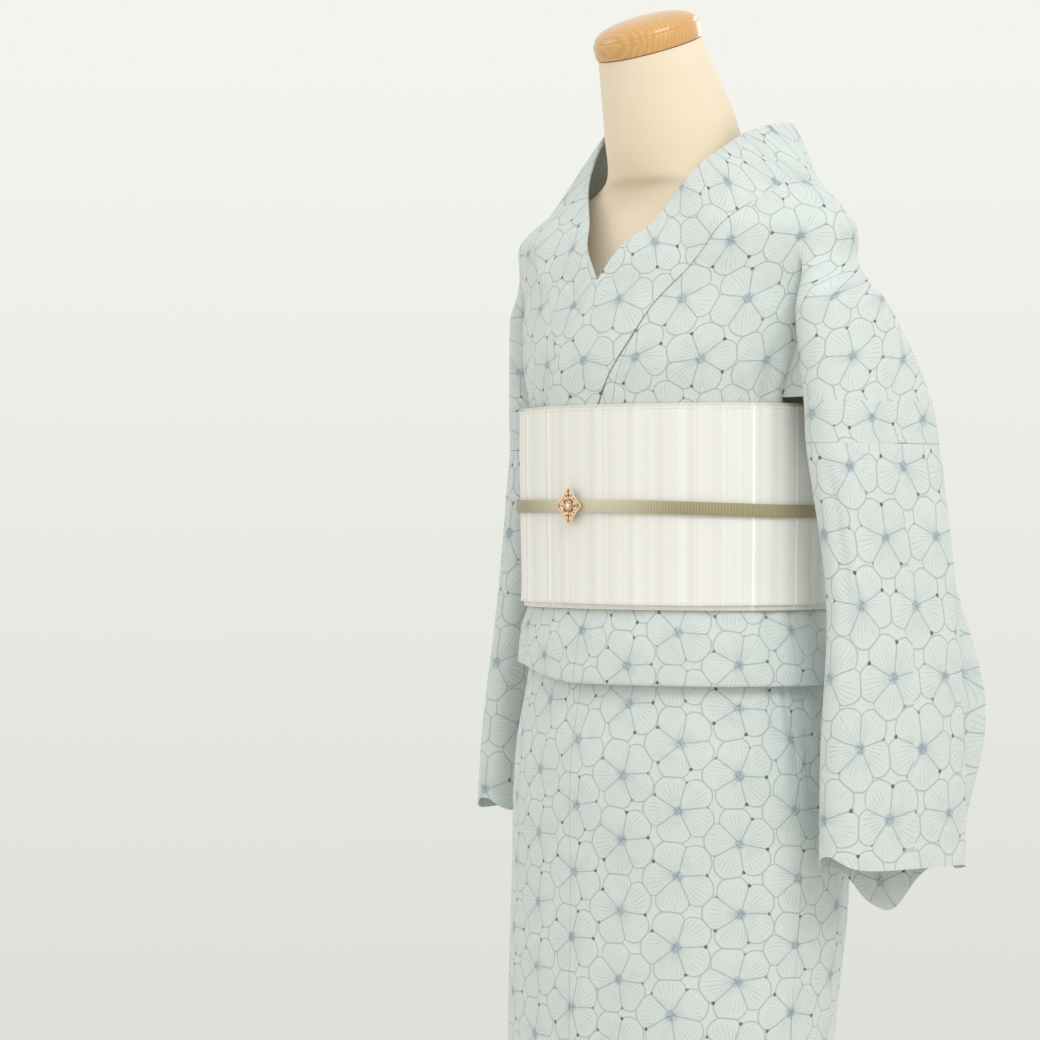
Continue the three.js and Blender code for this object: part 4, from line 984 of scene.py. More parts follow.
def sleeve(side, material):
    """A sleeve hangs as a flattened tube, its spare cloth folded behind, its hem drawn to a tip."""
    cols, rows = 112, 64
    lift = 0 if side > 0 else RIGHT_SLEEVE_LIFT
    angle = np.linspace(0, 2 * math.pi, cols, endpoint=False)[None, :]
    down = np.linspace(0, 1, rows + 1)[:, None]

    def bump(middle, width):
        return np.exp(-((turned_off(angle, middle) / width) ** 2))

    tip = SLEEVE_TIP_DROP * bump(math.pi - 0.15, 0.38) + 5 * bump(math.pi / 2, 0.5)
    hem = SLEEVE_HEM_Z + lift + 11 * bump(0.1 - math.pi / 2, 0.5) - tip
    z = mix(ARMHOLE_Z - 0.2, hem, down)
    spare = at(SLEEVE_FOLD, np.maximum(z - lift, 800), "out")
    wide_angle = np.broadcast_to(angle, z.shape)
    points = arm(side, wide_angle, np.maximum(z, 800))
    behind = spare * (bump(2.2, 0.34) - 0.35 * bump(1.55, 0.22))
    points[..., 2] = z
    points[..., 0] += 0.35 * side * behind
    points[..., 1] += behind
    press = np.zeros_like(z)
    for angle_a, z_a, angle_b, z_b, width, depth in zip(*SLEEVE_FOLDS.values()):
        share = (z - lift - z_a) / (z_b - z_a)
        line = mix(angle_a, angle_b, np.clip(share, 0, 1))
        ends = ease(0.0, 0.2, share) * (1 - ease(0.55, 1.0, share))
        press += depth * np.exp(-((turned_off(wide_angle, line) / width) ** 2)) * ends
    middle = points.mean(1, keepdims=True)
    away = points - middle
    away[..., 2] = 0
    away /= np.maximum(np.linalg.norm(away, axis=-1, keepdims=True), 1e-6)
    points = points - away * press[..., None]
    row = np.concatenate([points[20], points[20][:1]])
    along = np.concatenate([[0], np.cumsum(np.linalg.norm(np.diff(row, axis=0), axis=1))])
    u = side * (240 - along)
    uv = np.stack(np.broadcast_arrays(u[None, :], z[:, :1] * 1.0), -1).copy()
    uv[:, :-1, 1] = z
    uv[:, -1, 1] = z[:, 0]
    if side < 0:
        points = np.roll(points[:, ::-1], 1, 1)
        uv = uv[:, ::-1]
    name = "sleeve_cloth_left" if side > 0 else "sleeve_cloth_right"
    return cloth(name, points, uv, np.ones((rows, cols), bool), 1.0, material, closed=True)


# The sash, its cord and clasp.
def belt_band(name, out, low, high, thick, material, wave=0.0):
    """One wrap of the sash; wave is how far its surface swells and dips between its edges."""
    cols, rows = 240, 26
    turns = np.linspace(0, 2 * math.pi, cols, endpoint=False)[None, ::-1]
    z = np.linspace(high, low, rows + 1)[:, None]
    level = np.maximum(z, BELT_LOW_Z)
    inside = np.sin(math.pi * np.clip((z - low) / (high - low), 0, 1)) ** 0.5
    soft = (
        np.sin(turns * 5 + z * 0.03) + 0.6 * np.sin(turns * 11 - z * 0.05)
        + 0.5 * np.sin(z * 0.09 + turns * 3)
    )
    pull = -0.6 * np.exp(-(((z - CORD_Z) / 16) ** 2))
    points = ring(
        WAIST, np.broadcast_to(turns, (rows + 1, cols)), level, out + wave * (soft * inside * 0.5 + pull)
    )
    edge = 0.5 * np.sin(turns * 4 + 1) * wave
    points[..., 2] = z + edge * np.abs((z - (low + high) / 2) / ((high - low) / 2))
    u = np.concatenate([WAIST_ARC(turns[0]), [WAIST_ARC(turns[0, 0] - 2 * math.pi)]])
    uv = np.stack(np.broadcast_arrays(u[None, :], z - (low + high) / 2), -1)
    return cloth(name, points, uv, np.ones((rows, cols), bool), thick, material, closed=True)


def belt_tail(material):
    """The sash's end, folded flat over the back: down behind, round the low fold and up outside."""
    edge = math.asin(TAIL_HALF / 140)
    turns = np.linspace(-math.pi / 2 - edge, -math.pi / 2 + edge, 41)
    way = [(TAIL_TOP - 14, TAIL_IN), (TAIL_LOW + 3, TAIL_IN), (TAIL_LOW + 0.8, TAIL_IN + 0.3)]
    way += [(TAIL_LOW, TAIL_IN + 1.1), (TAIL_LOW, TAIL_OUT - 1.1), (TAIL_LOW + 0.8, TAIL_OUT - 0.3)]
    way += [(TAIL_LOW + 3, TAIL_OUT), (TAIL_TOP, TAIL_OUT)]
    places = []
    for (z_a, out_a), (z_b, out_b) in zip(way, way[1:]):
        count = max(1, round(abs(z_a - z_b) / 7))
        places += [(mix(z_a, z_b, n / count), mix(out_a, out_b, n / count)) for n in range(count)]
    places.append(way[-1])
    z, out = np.array(places).T
    level = np.clip(z, BELT_LOW_Z + 2, 1148)
    wave = (
        0.35 * np.sin(turns * 17)[None, :] * (out >= TAIL_OUT - 0.1)[:, None]
        * (np.abs(z - CORD_Z) > 12)[:, None]
    )
    points = ring(WAIST, np.broadcast_to(turns, (len(z), len(turns))), level[:, None], out[:, None] + wave)
    points[..., 2] = z[:, None]
    points = points[::-1, ::-1]
    across = (turns[::-1] + math.pi / 2) * 120
    steps = np.linalg.norm(np.diff(points[:, 20], axis=0), axis=1)
    along = -np.concatenate([[0], np.cumsum(steps)])
    uv = np.stack(np.broadcast_arrays(across[None, :], along[:, None]), -1)
    keep = np.ones((points.shape[0] - 1, points.shape[1] - 1), bool)
    return cloth("sash_tail", points, uv, keep, BELT_WALL, material)


def cord_out(turn):
    off = np.abs(turned_off(turn, -math.pi / 2))
    return mix(CORD_OUT, TAIL_OUT + SEAM + CORD_THICK, 1 - ease(0.62, 0.95, off))


def cord_profile(share):
    """How proud a flat braid stands at a share of its width, with rounded edges."""
    return -0.9 * np.abs(2 * share - 1) ** 4


def cord_band(material):
    cols = 300
    turns = np.linspace(0, 2 * math.pi, cols, endpoint=False)[None, ::-1]
    share = np.linspace(0, 1, 9)[:, None]
    out = cord_out(turns) + cord_profile(share)
    points = ring(WAIST, np.broadcast_to(turns, (9, cols)), np.full((9, cols), float(CORD_Z)), out)
    sag = CORD_SAG * np.maximum(np.cos(turns), 0) ** 2
    points[..., 2] = CORD_Z + CORD_TALL * (0.5 - share) - sag
    u = np.concatenate([WAIST_ARC(turns[0]), [WAIST_ARC(turns[0, 0] - 2 * math.pi)]])
    uv = np.stack(np.broadcast_arrays(u[None, :], CORD_TALL * (0.5 - share)), -1)
    return cloth("waist_cord", points, uv, np.ones((8, cols), bool), CORD_THICK - 0.3, material, closed=True)


def cord_knot(material):
    """The cord's knot at the back, with its two ends laid along the cord."""
    reach, knot = 0.5, 0.085
    turns = np.linspace(-math.pi / 2 - reach, -math.pi / 2 + reach, 121)[::-1]
    share = np.linspace(0, 1, 11)[:, None]
    off = np.abs(turns + math.pi / 2)
    full = (1 - ease(knot, knot * 1.7, off))[None, :]
    round_over = np.sqrt(np.maximum(1 - (2 * share - 1) ** 2, 0))
    out = cord_out(turns) + SEAM + mix(2.4 + 0 * share, 3.2 + 4.6 * round_over, full)
    out = out - 0.7 * full * np.exp(-(((off - 0.03) / 0.012) ** 2)) + cord_profile(share) * (1 - full)
    points = ring(WAIST, np.broadcast_to(turns, out.shape), np.full(out.shape, float(CORD_Z)), out)
    tall = mix(CORD_TALL / 2, 8, full)
    points[..., 2] = CORD_Z + tall * (1 - 2 * share)
    uv = np.stack(np.broadcast_arrays((turns * 120)[None, :], tall * (1 - 2 * share)), -1)
    return cloth("back_knot", points, uv, np.ones((10, 120), bool), 2.0, material)


# Radii of the clasp's wires, in millimetres.
RIM_WIRE, INNER_WIRE, PETAL_WIRE, SEAT_WIRE = 0.85, 0.4, 0.33, 0.4
# Radii of its stone and corner beads, in millimetres, and the stone's depth as a share of its width.
STONE_RADIUS, CORNER_BEAD, STONE_FLATTEN = 1.5, 0.95, 0.75
# How many times a scroll turns, and how many petals lie round the seat.
SCROLL_TURNS, CLASP_PETALS = 1.55, 8

# Middle, size and twist of each scroll in one quarter of the clasp.
CLASP_SCROLLS = (
    (4.4, 5.7, 1.6, 0.5),
    (8.3, 1.6, 1.25, 2.2),
    (1.8, 9.2, 1.2, -0.6),
    (1.6, 6.0, 1.15, 1.4),
    (6.6, 3.6, 1.15, 3.4),
    (5.7, 1.1, 0.85, 0.2),
)


def clasp_plate(middle, corners):
    """The thin back plate that closes the clasp behind its scrolls."""
    x, y, z = middle
    verts = [(x + u * 0.94, y - deep, z + v * 0.94) for deep in (0.3, 1.3) for u, v in corners]
    sides = [[k, (k + 1) % 4, 4 + (k + 1) % 4, 4 + k] for k in range(4)]
    return np.array(verts), [[3, 2, 1, 0], [4, 5, 6, 7]] + sides


def clasp_parts():
    """A pierced lozenge: a double rim, scrolls, and petals round a seat."""
    z = CORD_Z
    turn = float(turn_at_x(WAIST, CLASP_X, z))
    seat = ring(WAIST, turn, z, CORD_OUT + SEAM)
    x0, y0 = seat[0], seat[1] - 0.6
    place = lambda u, v, deep: np.stack(np.broadcast_arrays(x0 + u, y0 - deep, z + v), -1)
    a, b = CLASP_HALF + 0.2, CLASP_TALL + 0.2
    corners = [(a, 0), (0, b), (-a, 0), (0, -b)]

    def outline(scale, bow):
        path = []
        for (u0, v0), (u1, v1) in zip(corners, corners[1:] + corners[:1]):
            for t in np.linspace(0, 1, 14, endpoint=False):
                inward = 1 - bow * 4 * t * (1 - t)
                path.append((mix(u0, u1, t) * scale * inward, mix(v0, v1, t) * scale * inward))
        return np.array(path)

    rim, inner = outline(1.0, 0.06), outline(0.8, 0.06)
    parts = [
        tube(place(rim[:, 0], rim[:, 1], 1.9), RIM_WIRE, closed=True),
        tube(place(inner[:, 0], inner[:, 1], 2.3), INNER_WIRE, closed=True),
    ]
    for mirror_u in (1, -1):
        for mirror_v in (1, -1):
            for middle_u, middle_v, size, twist in CLASP_SCROLLS:
                t = np.linspace(0, 1, 26)
                spin = twist + t * SCROLL_TURNS * 2 * math.pi
                radius = size * (1 - 0.78 * t)
                u = middle_u + radius * np.cos(spin)
                v = middle_v + radius * np.sin(spin)
                parts.append(
                    tube(place(mirror_u * u, mirror_v * v, 2.0 + 0.5 * t), mix(0.5, 0.36, t), sides=7)
                )
    for n in range(CLASP_PETALS):
        spin = n * 2 * math.pi / CLASP_PETALS
        t = np.linspace(0, 2 * math.pi, 18, endpoint=False)
        u0, v0 = 3.0 + 1.15 * np.cos(t), 0.85 * np.sin(t)
        u, v = u0 * math.cos(spin) - v0 * math.sin(spin), u0 * math.sin(spin) + v0 * math.cos(spin)
        parts.append(tube(place(u, v, 2.7), PETAL_WIRE, sides=7, closed=True))
    t = np.linspace(0, 2 * math.pi, 24, endpoint=False)
    parts.append(tube(place(1.75 * np.cos(t), 1.75 * np.sin(t), 3.2), SEAT_WIRE, closed=True))
    return parts, (x0, y0, z), corners


def bead(middle, radius, flatten=1.0, steps=14):
    """A small ball, squeezed front to back by flatten."""
    up = np.linspace(-math.pi / 2 + 0.12, math.pi / 2 - 0.12, steps // 2 + 1)
    turns = np.linspace(0, 2 * math.pi, steps, endpoint=False)
    rings = [
        point(
            middle[0] + radius * math.cos(v) * np.cos(turns),
            middle[1] - radius * flatten * math.sin(v),
            middle[2] + radius * math.cos(v) * np.sin(turns),
        )
        for v in up
    ]
    faces = []
    for n in range(len(rings) - 1):
        for k in range(steps):
            m = (k + 1) % steps
            faces.append([n * steps + k, n * steps + m, (n + 1) * steps + m, (n + 1) * steps + k])
    faces.append(list(range(steps))[::-1])
    faces.append([(len(rings) - 1) * steps + k for k in range(steps)])
    return np.concatenate(rings), faces


# The dress form.
def form_rings():
    heights = np.concatenate([np.linspace(770, 1185, 40), np.linspace(1190, 1446, 86)])
    turns = -np.linspace(0, 2 * math.pi, 160, endpoint=False)
    rings = []
    for z in heights:
        lean, mid = float(at(FORM, z, "lean")), float(at(FORM, z, "mid"))
        p = ring(FORM, turns, np.full_like(turns, z))
        off = p[:, 1] - mid
        p[:, 1] = mid + off * math.cos(lean)
        p[:, 2] = z + off * math.sin(lean)
        rings.append(p)
    return rings


def dome_profile():
    """The neck cap: a turned rim under a low dome."""
    rim = [
        (0.5, 0.0),
        (CAP_RADIUS - 2.2, 0.0),
        (CAP_RADIUS - 0.6, 0.7),
        (CAP_RADIUS, 2.4),
        (CAP_RADIUS, CAP_RIM - 1.2),
    ]
    rim += [(CAP_RADIUS - 0.35, CAP_RIM - 0.2), (CAP_RADIUS - 1.0, CAP_RIM + 0.1)]
    spans = np.linspace(0, math.pi / 2 - 0.02, 22)
    dome = [
        ((CAP_RADIUS - 1.6) * math.cos(a) ** 0.8, CAP_RIM + 0.5 + (CAP_DOME - 0.5) * math.sin(a))
        for a in spans
    ]
    return rim + dome


def base_profile():
    profile = [(0.5, 0.0), (BASE_RADIUS - 2, 0.0), (BASE_RADIUS, 2.0), (BASE_RADIUS, BASE_HEIGHT - 8)]
    spans = np.linspace(0, math.pi / 2, 8)
    profile += [(BASE_RADIUS - 6 + 6 * math.cos(a), BASE_HEIGHT - 7 + 6 * math.sin(a)) for a in spans]
    profile += [
        (BASE_RADIUS - 9, BASE_HEIGHT - 1.4), (BASE_RADIUS - 12, BASE_HEIGHT - 0.4), (24, BASE_HEIGHT)
    ]
    return profile + [(0.5, BASE_HEIGHT)]


# Hem stitches along the sash's edges.
def stitch_tree(material):
    """Lays stitches along a path. The seed is fixed, so every run gives the same ones."""
    tree = bpy.data.node_groups.new("edge_stitches", "GeometryNodeTree")
    tree.interface.new_socket("Geometry", in_out="INPUT", socket_type="NodeSocketGeometry")
    for name, value in (("Pitch", 0.0042), ("Stitch length", 0.0024), ("Thread radius", 0.00028)):
        socket = tree.interface.new_socket(name, in_out="INPUT", socket_type="NodeSocketFloat")
        socket.default_value = value
    seed = tree.interface.new_socket("Seed", in_out="INPUT", socket_type="NodeSocketInt")
    seed.default_value = 4
    tree.interface.new_socket("Geometry", in_out="OUTPUT", socket_type="NodeSocketGeometry")
    given, result = tree.nodes.new("NodeGroupInput").outputs, tree.nodes.new("NodeGroupOutput")
    path = add(tree, "GeometryNodeMeshToCurve", (given["Geometry"],))
    dots = add(tree, "GeometryNodeCurveToPoints", {"Curve": path, "Length": given["Pitch"]}, mode="LENGTH")
    turn = dots.node.outputs["Rotation"]
    thread = add(
        tree,
        "GeometryNodeMeshCylinder",
        {"Vertices": 6, "Radius": given["Thread radius"], "Depth": given["Stitch length"]},
    )
    uneven = add(
        tree,
        "FunctionNodeRandomValue",
        {"Min": (0.8, 0.8, 0.75), "Max": (1.15, 1.15, 1.2), "Seed": given["Seed"]},
        data_type="FLOAT_VECTOR",
    )
    laid = add(
        tree,
        "GeometryNodeInstanceOnPoints",
        {"Points": dots, "Instance": thread, "Rotation": turn, "Scale": uneven},
    )
    real = add(tree, "GeometryNodeRealizeInstances", (laid,))
    real = add(tree, "GeometryNodeSetShadeSmooth", {"Geometry": real})
    done = add(tree, "GeometryNodeSetMaterial", {"Geometry": real, "Material": material})
    tree.links.new(done, result.inputs[0])
    return tree


def stitches(name, paths, material, pitch=4.2, length=2.4, radius=0.28):
    """Stitches along paths of points in millimetres, as one plain mesh."""
    mesh = bpy.data.meshes.new(name + "_path")
    verts, edges = [], []
    for path in paths:
        start = len(verts)
        verts += (np.asarray(path) * MM).tolist()
        edges += [(start + n, start + n + 1) for n in range(len(path) - 1)]
    mesh.from_pydata(verts, edges, [])
    guide = bpy.data.objects.new(name + "_path", mesh)
    bpy.context.scene.collection.objects.link(guide)
    tree = bpy.data.node_groups.get("edge_stitches_" + material.name) or stitch_tree(material)
    tree.name = "edge_stitches_" + material.name
    modifier = guide.modifiers.new("stitches", "NODES")
    modifier.node_group = tree
    sockets = {item.name: item.identifier for item in tree.interface.items_tree if item.in_out == "INPUT"}
    modifier[sockets["Pitch"]] = pitch * MM
    modifier[sockets["Stitch length"]] = length * MM
    modifier[sockets["Thread radius"]] = radius * MM
    modifier[sockets["Seed"]] = 4
    graph = bpy.context.evaluated_depsgraph_get()
    graph.update()
    result = bpy.data.meshes.new_from_object(guide.evaluated_get(graph))
    bpy.data.objects.remove(guide)
    piece = bpy.data.objects.new(name, result)
    bpy.context.scene.collection.objects.link(piece)
    return piece


# Materials of the sash, the cord, the clasp and the form.
def sash_cloth(look):
    """Matt sash silk with a fine vertical rib: a dry surface with a few bright narrow stripes of floss."""
    material, tree, shader = start_material(
        "woven_silk_sash", Roughness=0.8, Sheen_Weight=0.15, Sheen_Roughness=0.45
    )
    uv = add(tree, "ShaderNodeUVMap", uv_map="cloth")
    place = add(tree, VECTOR, (uv, (1000.0, 1000.0, 0.0)), operation="MULTIPLY")
    parts = add(tree, "ShaderNodeSeparateXYZ", (place,)).node.outputs
    x, y = parts[0], parts[1]

    # Faint broad stripes about 9 mm apart, and fine ribs 1.1 mm apart.
    broad = add(
        tree,
        "ShaderNodeTexNoise",
        {
            "Vector": add(tree, VECTOR, (place, (0.11, 0.0, 0.0)), operation="MULTIPLY"),
            "Scale": 1.0,
            "Detail": 2.0,
        },
    )
    broad = add(tree, "ShaderNodeMapRange", (broad, 0.4, 0.62, 0.0, 1.0))
    ribs = add(tree, MATH, (add(tree, MATH, (x, 5.7), operation="MULTIPLY"),), operation="SINE")
    slub = add(
        tree,
        "ShaderNodeTexNoise",
        {
            "Vector": add(tree, VECTOR, (place, (1.6, 0.08, 0.0)), operation="MULTIPLY"),
            "Scale": 1.0,
            "Detail": 3.0,
        },
    )
    picks = add(
        tree,
        "ShaderNodeTexNoise",
        {
            "Vector": add(tree, VECTOR, (place, (0.12, 2.4, 0.0)), operation="MULTIPLY"),
            "Scale": 1.0,
            "Detail": 2.0,
        },
    )

    # Bright floss stripes where the pattern has them.
    stripes = None
    for turn, half in look_stripes(look):
        off = add(tree, MATH, (x, float(-WAIST_ARC(turn))), operation="ADD")
        off = add(tree, MATH, (off,), operation="ABSOLUTE")
        one = add(
            tree, "ShaderNodeMapRange", (off, half * 0.55, half, 1.0, 0.0), interpolation_type="SMOOTHSTEP"
        )
        stripes = one if stripes is None else add(tree, MATH, (stripes, one), operation="MAXIMUM")
    broken = add(
        tree,
        "ShaderNodeTexNoise",
        {
            "Vector": add(tree, VECTOR, (place, (0.2, 0.9, 0.0)), operation="MULTIPLY"),
            "Scale": 1.0,
            "Detail": 2.0,
        },
    )
    broken = add(tree, "ShaderNodeMapRange", (broken, 0.35, 0.55, 0.45, 1.0))
    stripes = add(tree, MATH, (stripes, broken), operation="MULTIPLY")
    edge = add(tree, MATH, (y,), operation="ABSOLUTE")
    hem = add(tree, "ShaderNodeMapRange", (edge, 76.6, 77.6, 0.0, 1.0))
    cloth_colour = add(
        tree,
        MIX,
        {0: broad, 6: tuple(look.sash_light), 7: tuple(look.sash_shade)},
        out=2,
        data_type="RGBA",
    )
    slub_share = add(tree, MATH, (slub, 0.6), operation="MULTIPLY")
    cloth_colour = add(
        tree, MIX, {0: slub_share, 6: cloth_colour, 7: tuple(look.sash_shade)}, out=2, data_type="RGBA"
    )
    cloth_colour = add(
        tree, MIX, {0: stripes, 6: cloth_colour, 7: colour("#fbfbf8")}, out=2, data_type="RGBA"
    )
    hem_share = add(tree, MATH, (hem, 0.55), operation="MULTIPLY")
    cloth_colour = add(
        tree, MIX, {0: hem_share, 6: cloth_colour, 7: tuple(look.sash_edge)}, out=2, data_type="RGBA"
    )
    tree.links.new(cloth_colour, shader.inputs["Base Color"])
    height = add(tree, MATH, (ribs, 0.05), operation="MULTIPLY")
    height = add(tree, MATH, (stripes, 0.3, height), operation="MULTIPLY_ADD")
    height = add(tree, MATH, (slub, 0.35, height), operation="MULTIPLY_ADD")
    height = add(tree, MATH, (picks, 0.3, height), operation="MULTIPLY_ADD")
    bump = add(tree, "ShaderNodeBump", {"Height": height, "Strength": 0.6, "Distance": 0.0006})
    tree.links.new(bump, shader.inputs["Normal"])
    return material


def look_stripes(look):
    """The turns of the sash's floss stripes and half their width in millimetres."""
    half = look.stripe_width / MM / 2
    return [
        (2.137, half),
        (1.843, half * 0.7),
        (0.45, half),
        (0.122, half),
        (-0.163, half),
        (3.1, half),
        (-1.0, half),
    ]


def braided_cord(look):
    """Flat silk braid: plaited bundles about 2.4 mm wide that catch the light one by one, with painted shade
    in the hollows between them.
    """
    material, tree, shader = start_material(
        "braided_silk_cord", Roughness=0.62, Sheen_Weight=0.2, Sheen_Roughness=0.4
    )
    uv = add(tree, "ShaderNodeUVMap", uv_map="cloth")
    place = add(tree, VECTOR, (uv, (1000.0, 1000.0, 0.0)), operation="MULTIPLY")
    parts = add(tree, "ShaderNodeSeparateXYZ", (place,)).node.outputs
    x, y = parts[0], parts[1]
    slant = add(tree, MATH, (y, 0.9), operation="MULTIPLY")
    slant = add(tree, MATH, (slant, 3.0, -3.0), operation="PINGPONG")
    lean = add(tree, MATH, (x, slant), operation="ADD")
    bundle = add(tree, MATH, (add(tree, MATH, (lean, 2.62), operation="MULTIPLY"),), operation="SINE")
    lanes = add(tree, MATH, (add(tree, MATH, (y, 1.9), operation="MULTIPLY"),), operation="COSINE")
    plait = add(tree, MATH, (bundle, lanes), operation="MULTIPLY")
    plait = add(tree, MATH, (plait, 0.5, 0.5), operation="MULTIPLY_ADD")
    fibres = add(tree, "ShaderNodeTexNoise", {"Vector": place, "Scale": 1.3, "Detail": 3.0})

    # The silk is paler along the front and khaki towards both ends.
    off = add(tree, MATH, (x, 8.0), operation="SUBTRACT")
    far = add(tree, MATH, (off,), operation="ABSOLUTE")
    far = add(tree, "ShaderNodeMapRange", (far, 15.0, 95.0, 0.0, 1.0), interpolation_type="SMOOTHSTEP")
    base = add(
        tree, MIX, {0: far, 6: tuple(look.cord_pale), 7: tuple(look.cord_khaki)}, out=2, data_type="RGBA"
    )
    # Painted shade: the hollows between the plaited bundles are darker.
    dark = add(tree, MIX, {0: far, 6: colour("#b3ae90"), 7: colour("#827d5c")}, out=2, data_type="RGBA")
    share = add(tree, "ShaderNodeMapRange", (plait, 0.1, 0.75, 0.75, 0.0))
    base = add(tree, MIX, {0: share, 6: base, 7: dark}, out=2, data_type="RGBA")
    tree.links.new(base, shader.inputs["Base Color"])
    height = add(tree, MATH, (fibres, 0.3, plait), operation="MULTIPLY_ADD")
    bump = add(tree, "ShaderNodeBump", {"Height": height, "Strength": 0.8, "Distance": 0.0007})
    tree.links.new(bump, shader.inputs["Normal"])
    return material


def gilt_brass(look):
    """Cast brass with a pale gilt finish: bright on the ridges and darker in the hollows."""
    material, tree, shader = start_material("gilt_cast_brass", Metallic=1.0)
    place = add(tree, "ShaderNodeTexCoord", out="Object")
    grain = add(tree, "ShaderNodeTexNoise", {"Vector": place, "Scale": 900.0, "Detail": 3.0})
    # Darker where the mesh is concave and lighter where it is convex, by pointiness.
    hollow = add(tree, "ShaderNodeNewGeometry", out="Pointiness")
    hollow = add(tree, "ShaderNodeMapRange", (hollow, 0.46, 0.53, 0.0, 1.0))
    tone = add(
        tree, MIX, {0: hollow, 6: tuple(look.gilt_dark), 7: tuple(look.gilt)}, out=2, data_type="RGBA"
    )
    tree.links.new(tone, shader.inputs["Base Color"])
    rough = add(tree, "ShaderNodeMapRange", (grain, 0.3, 0.7, 0.22, 0.42))
    tree.links.new(rough, shader.inputs["Roughness"])
    bump = add(tree, "ShaderNodeBump", {"Height": grain, "Strength": 0.25, "Distance": 0.0001})
    tree.links.new(bump, shader.inputs["Normal"])
    return material


def brass_ground(look):
    """The clasp's back plate behind its scrolls: dull, and mostly the dark brown of the hollows."""
    material, tree, shader = start_material("dull_brass_plate", Metallic=0.6, Roughness=0.55)
    place = add(tree, "ShaderNodeTexCoord", out="Object")
    stain = add(tree, "ShaderNodeTexNoise", {"Vector": place, "Scale": 700.0, "Detail": 2.0})
    stain = add(tree, MATH, (stain, 0.5), operation="MULTIPLY")
    tone = add(
        tree, MIX, {0: stain, 6: tuple(look.gilt_dark), 7: tuple(look.gilt)}, out=2, data_type="RGBA"
    )
    tree.links.new(tone, shader.inputs["Base Color"])
    return material


def white_stone():
    """A small polished glass stone: milky white, with a clear highlight."""
    material, tree, shader = start_material("polished_glass_stone", Roughness=0.12, IOR=1.52)
    place = add(tree, "ShaderNodeTexCoord", out="Object")
    cloud = add(tree, "ShaderNodeTexNoise", {"Vector": place, "Scale": 500.0, "Detail": 2.0})
    tone = add(tree, MIX, {0: cloud, 6: colour("#fbfbf8"), 7: colour("#dfe3e2")}, out=2, data_type="RGBA")
    tree.links.new(tone, shader.inputs["Base Color"])
    return material


def form_jersey(look):
    """Cream knitted jersey stretched smooth over the form, with a fine knit."""
    material, tree, shader = start_material("stretched_cotton_jersey", Roughness=0.75, Sheen_Weight=0.1)
    place = add(tree, "ShaderNodeTexCoord", out="Object")
    knit = add(
        tree,
        "ShaderNodeTexWave",
        {"Vector": place, "Scale": 260.0, "Distortion": 1.5, "Detail": 1.0},
        bands_direction="Z",
    )
    patches = add(tree, "ShaderNodeTexNoise", {"Vector": place, "Scale": 9.0, "Detail": 3.0})
    tone = add(
        tree,
        MIX,
        {0: patches, 6: tuple(look.form_light), 7: tuple(look.form_shade)},
        out=2,
        data_type="RGBA",
    )
    tree.links.new(tone, shader.inputs["Base Color"])
    bump = add(tree, "ShaderNodeBump", {"Height": knit, "Strength": 0.12, "Distance": 0.0002})
    tree.links.new(bump, shader.inputs["Normal"])
    return material


def varnished_wood(look, centre):
    """Turned beech under clear varnish: honey orange, with fine growth lines across and a glossy coat."""
    material, tree, shader = start_material(
        "varnished_beech_" + centre[0], Roughness=0.42, Coat_Weight=0.7, Coat_Roughness=0.12
    )
    place = add(tree, "ShaderNodeTexCoord", out="Object")
    place = add(tree, "ShaderNodeMapping", {"Vector": place, "Location": centre[1], "Scale": (1.0, 7.0, 7.0)})
    rings = add(
        tree,
        "ShaderNodeTexWave",
        {"Vector": place, "Scale": 14.0, "Distortion": 5.0, "Detail": 3.0, "Detail Scale": 1.6},
        bands_direction="Y",
    )
    pores = add(tree, "ShaderNodeTexNoise", {"Vector": place, "Scale": 110.0, "Detail": 4.0})
    share = add(tree, MATH, (rings, 0.42), operation="MULTIPLY")
    share = add(tree, MATH, (pores, 0.28, share), operation="MULTIPLY_ADD")
    tone = add(
        tree,
        MIX,
        {0: share, 6: tuple(look.wood_light), 7: tuple(look.wood_dark)},
        out=2,
        data_type="RGBA",
    )
    tree.links.new(tone, shader.inputs["Base Color"])
    bump = add(tree, "ShaderNodeBump", {"Height": pores, "Strength": 0.08, "Distance": 0.0002})
    tree.links.new(bump, shader.inputs["Normal"])
    return material


def brushed_steel():
    """Steel tube, brushed round: fine rings that stretch the highlights along the pole."""
    material, tree, shader = start_material("brushed_steel_tube", Metallic=1.0)
    place = add(tree, "ShaderNodeTexCoord", out="Object")
    place = add(tree, "ShaderNodeMapping", {"Vector": place, "Scale": (30.0, 30.0, 2500.0)})
    brushed = add(tree, "ShaderNodeTexNoise", {"Vector": place, "Scale": 1.0, "Detail": 2.0})
    tone = add(tree, MIX, {0: brushed, 6: colour("#b4b6b8"), 7: colour("#9a9c9e")}, out=2, data_type="RGBA")
    tree.links.new(tone, shader.inputs["Base Color"])
    rough = add(tree, "ShaderNodeMapRange", (brushed, 0.2, 0.8, 0.24, 0.4))
    tree.links.new(rough, shader.inputs["Roughness"])
    return material


def plain_floor(look):
    """Matt studio paper: pale, and barely mottled."""
    material, tree, shader = start_material("matt_studio_paper", Roughness=0.95)
    place = add(tree, "ShaderNodeTexCoord", out="Object")
    mottle = add(tree, "ShaderNodeTexNoise", {"Vector": place, "Scale": 40.0, "Detail": 2.0})
    tone = add(tree, MIX, {0: mottle, 6: tuple(look.floor), 7: colour("#e2e0dc")}, out=2, data_type="RGBA")
    tree.links.new(tone, shader.inputs["Base Color"])
    return material


# What a user would change.
# The fill and back lamps' shares of the key lamp's power, and the height that all lamps face, in metres.
FILL_SHARE, BACK_SHARE, LAMP_AIM_Z = 0.24, 0.3, 1.2


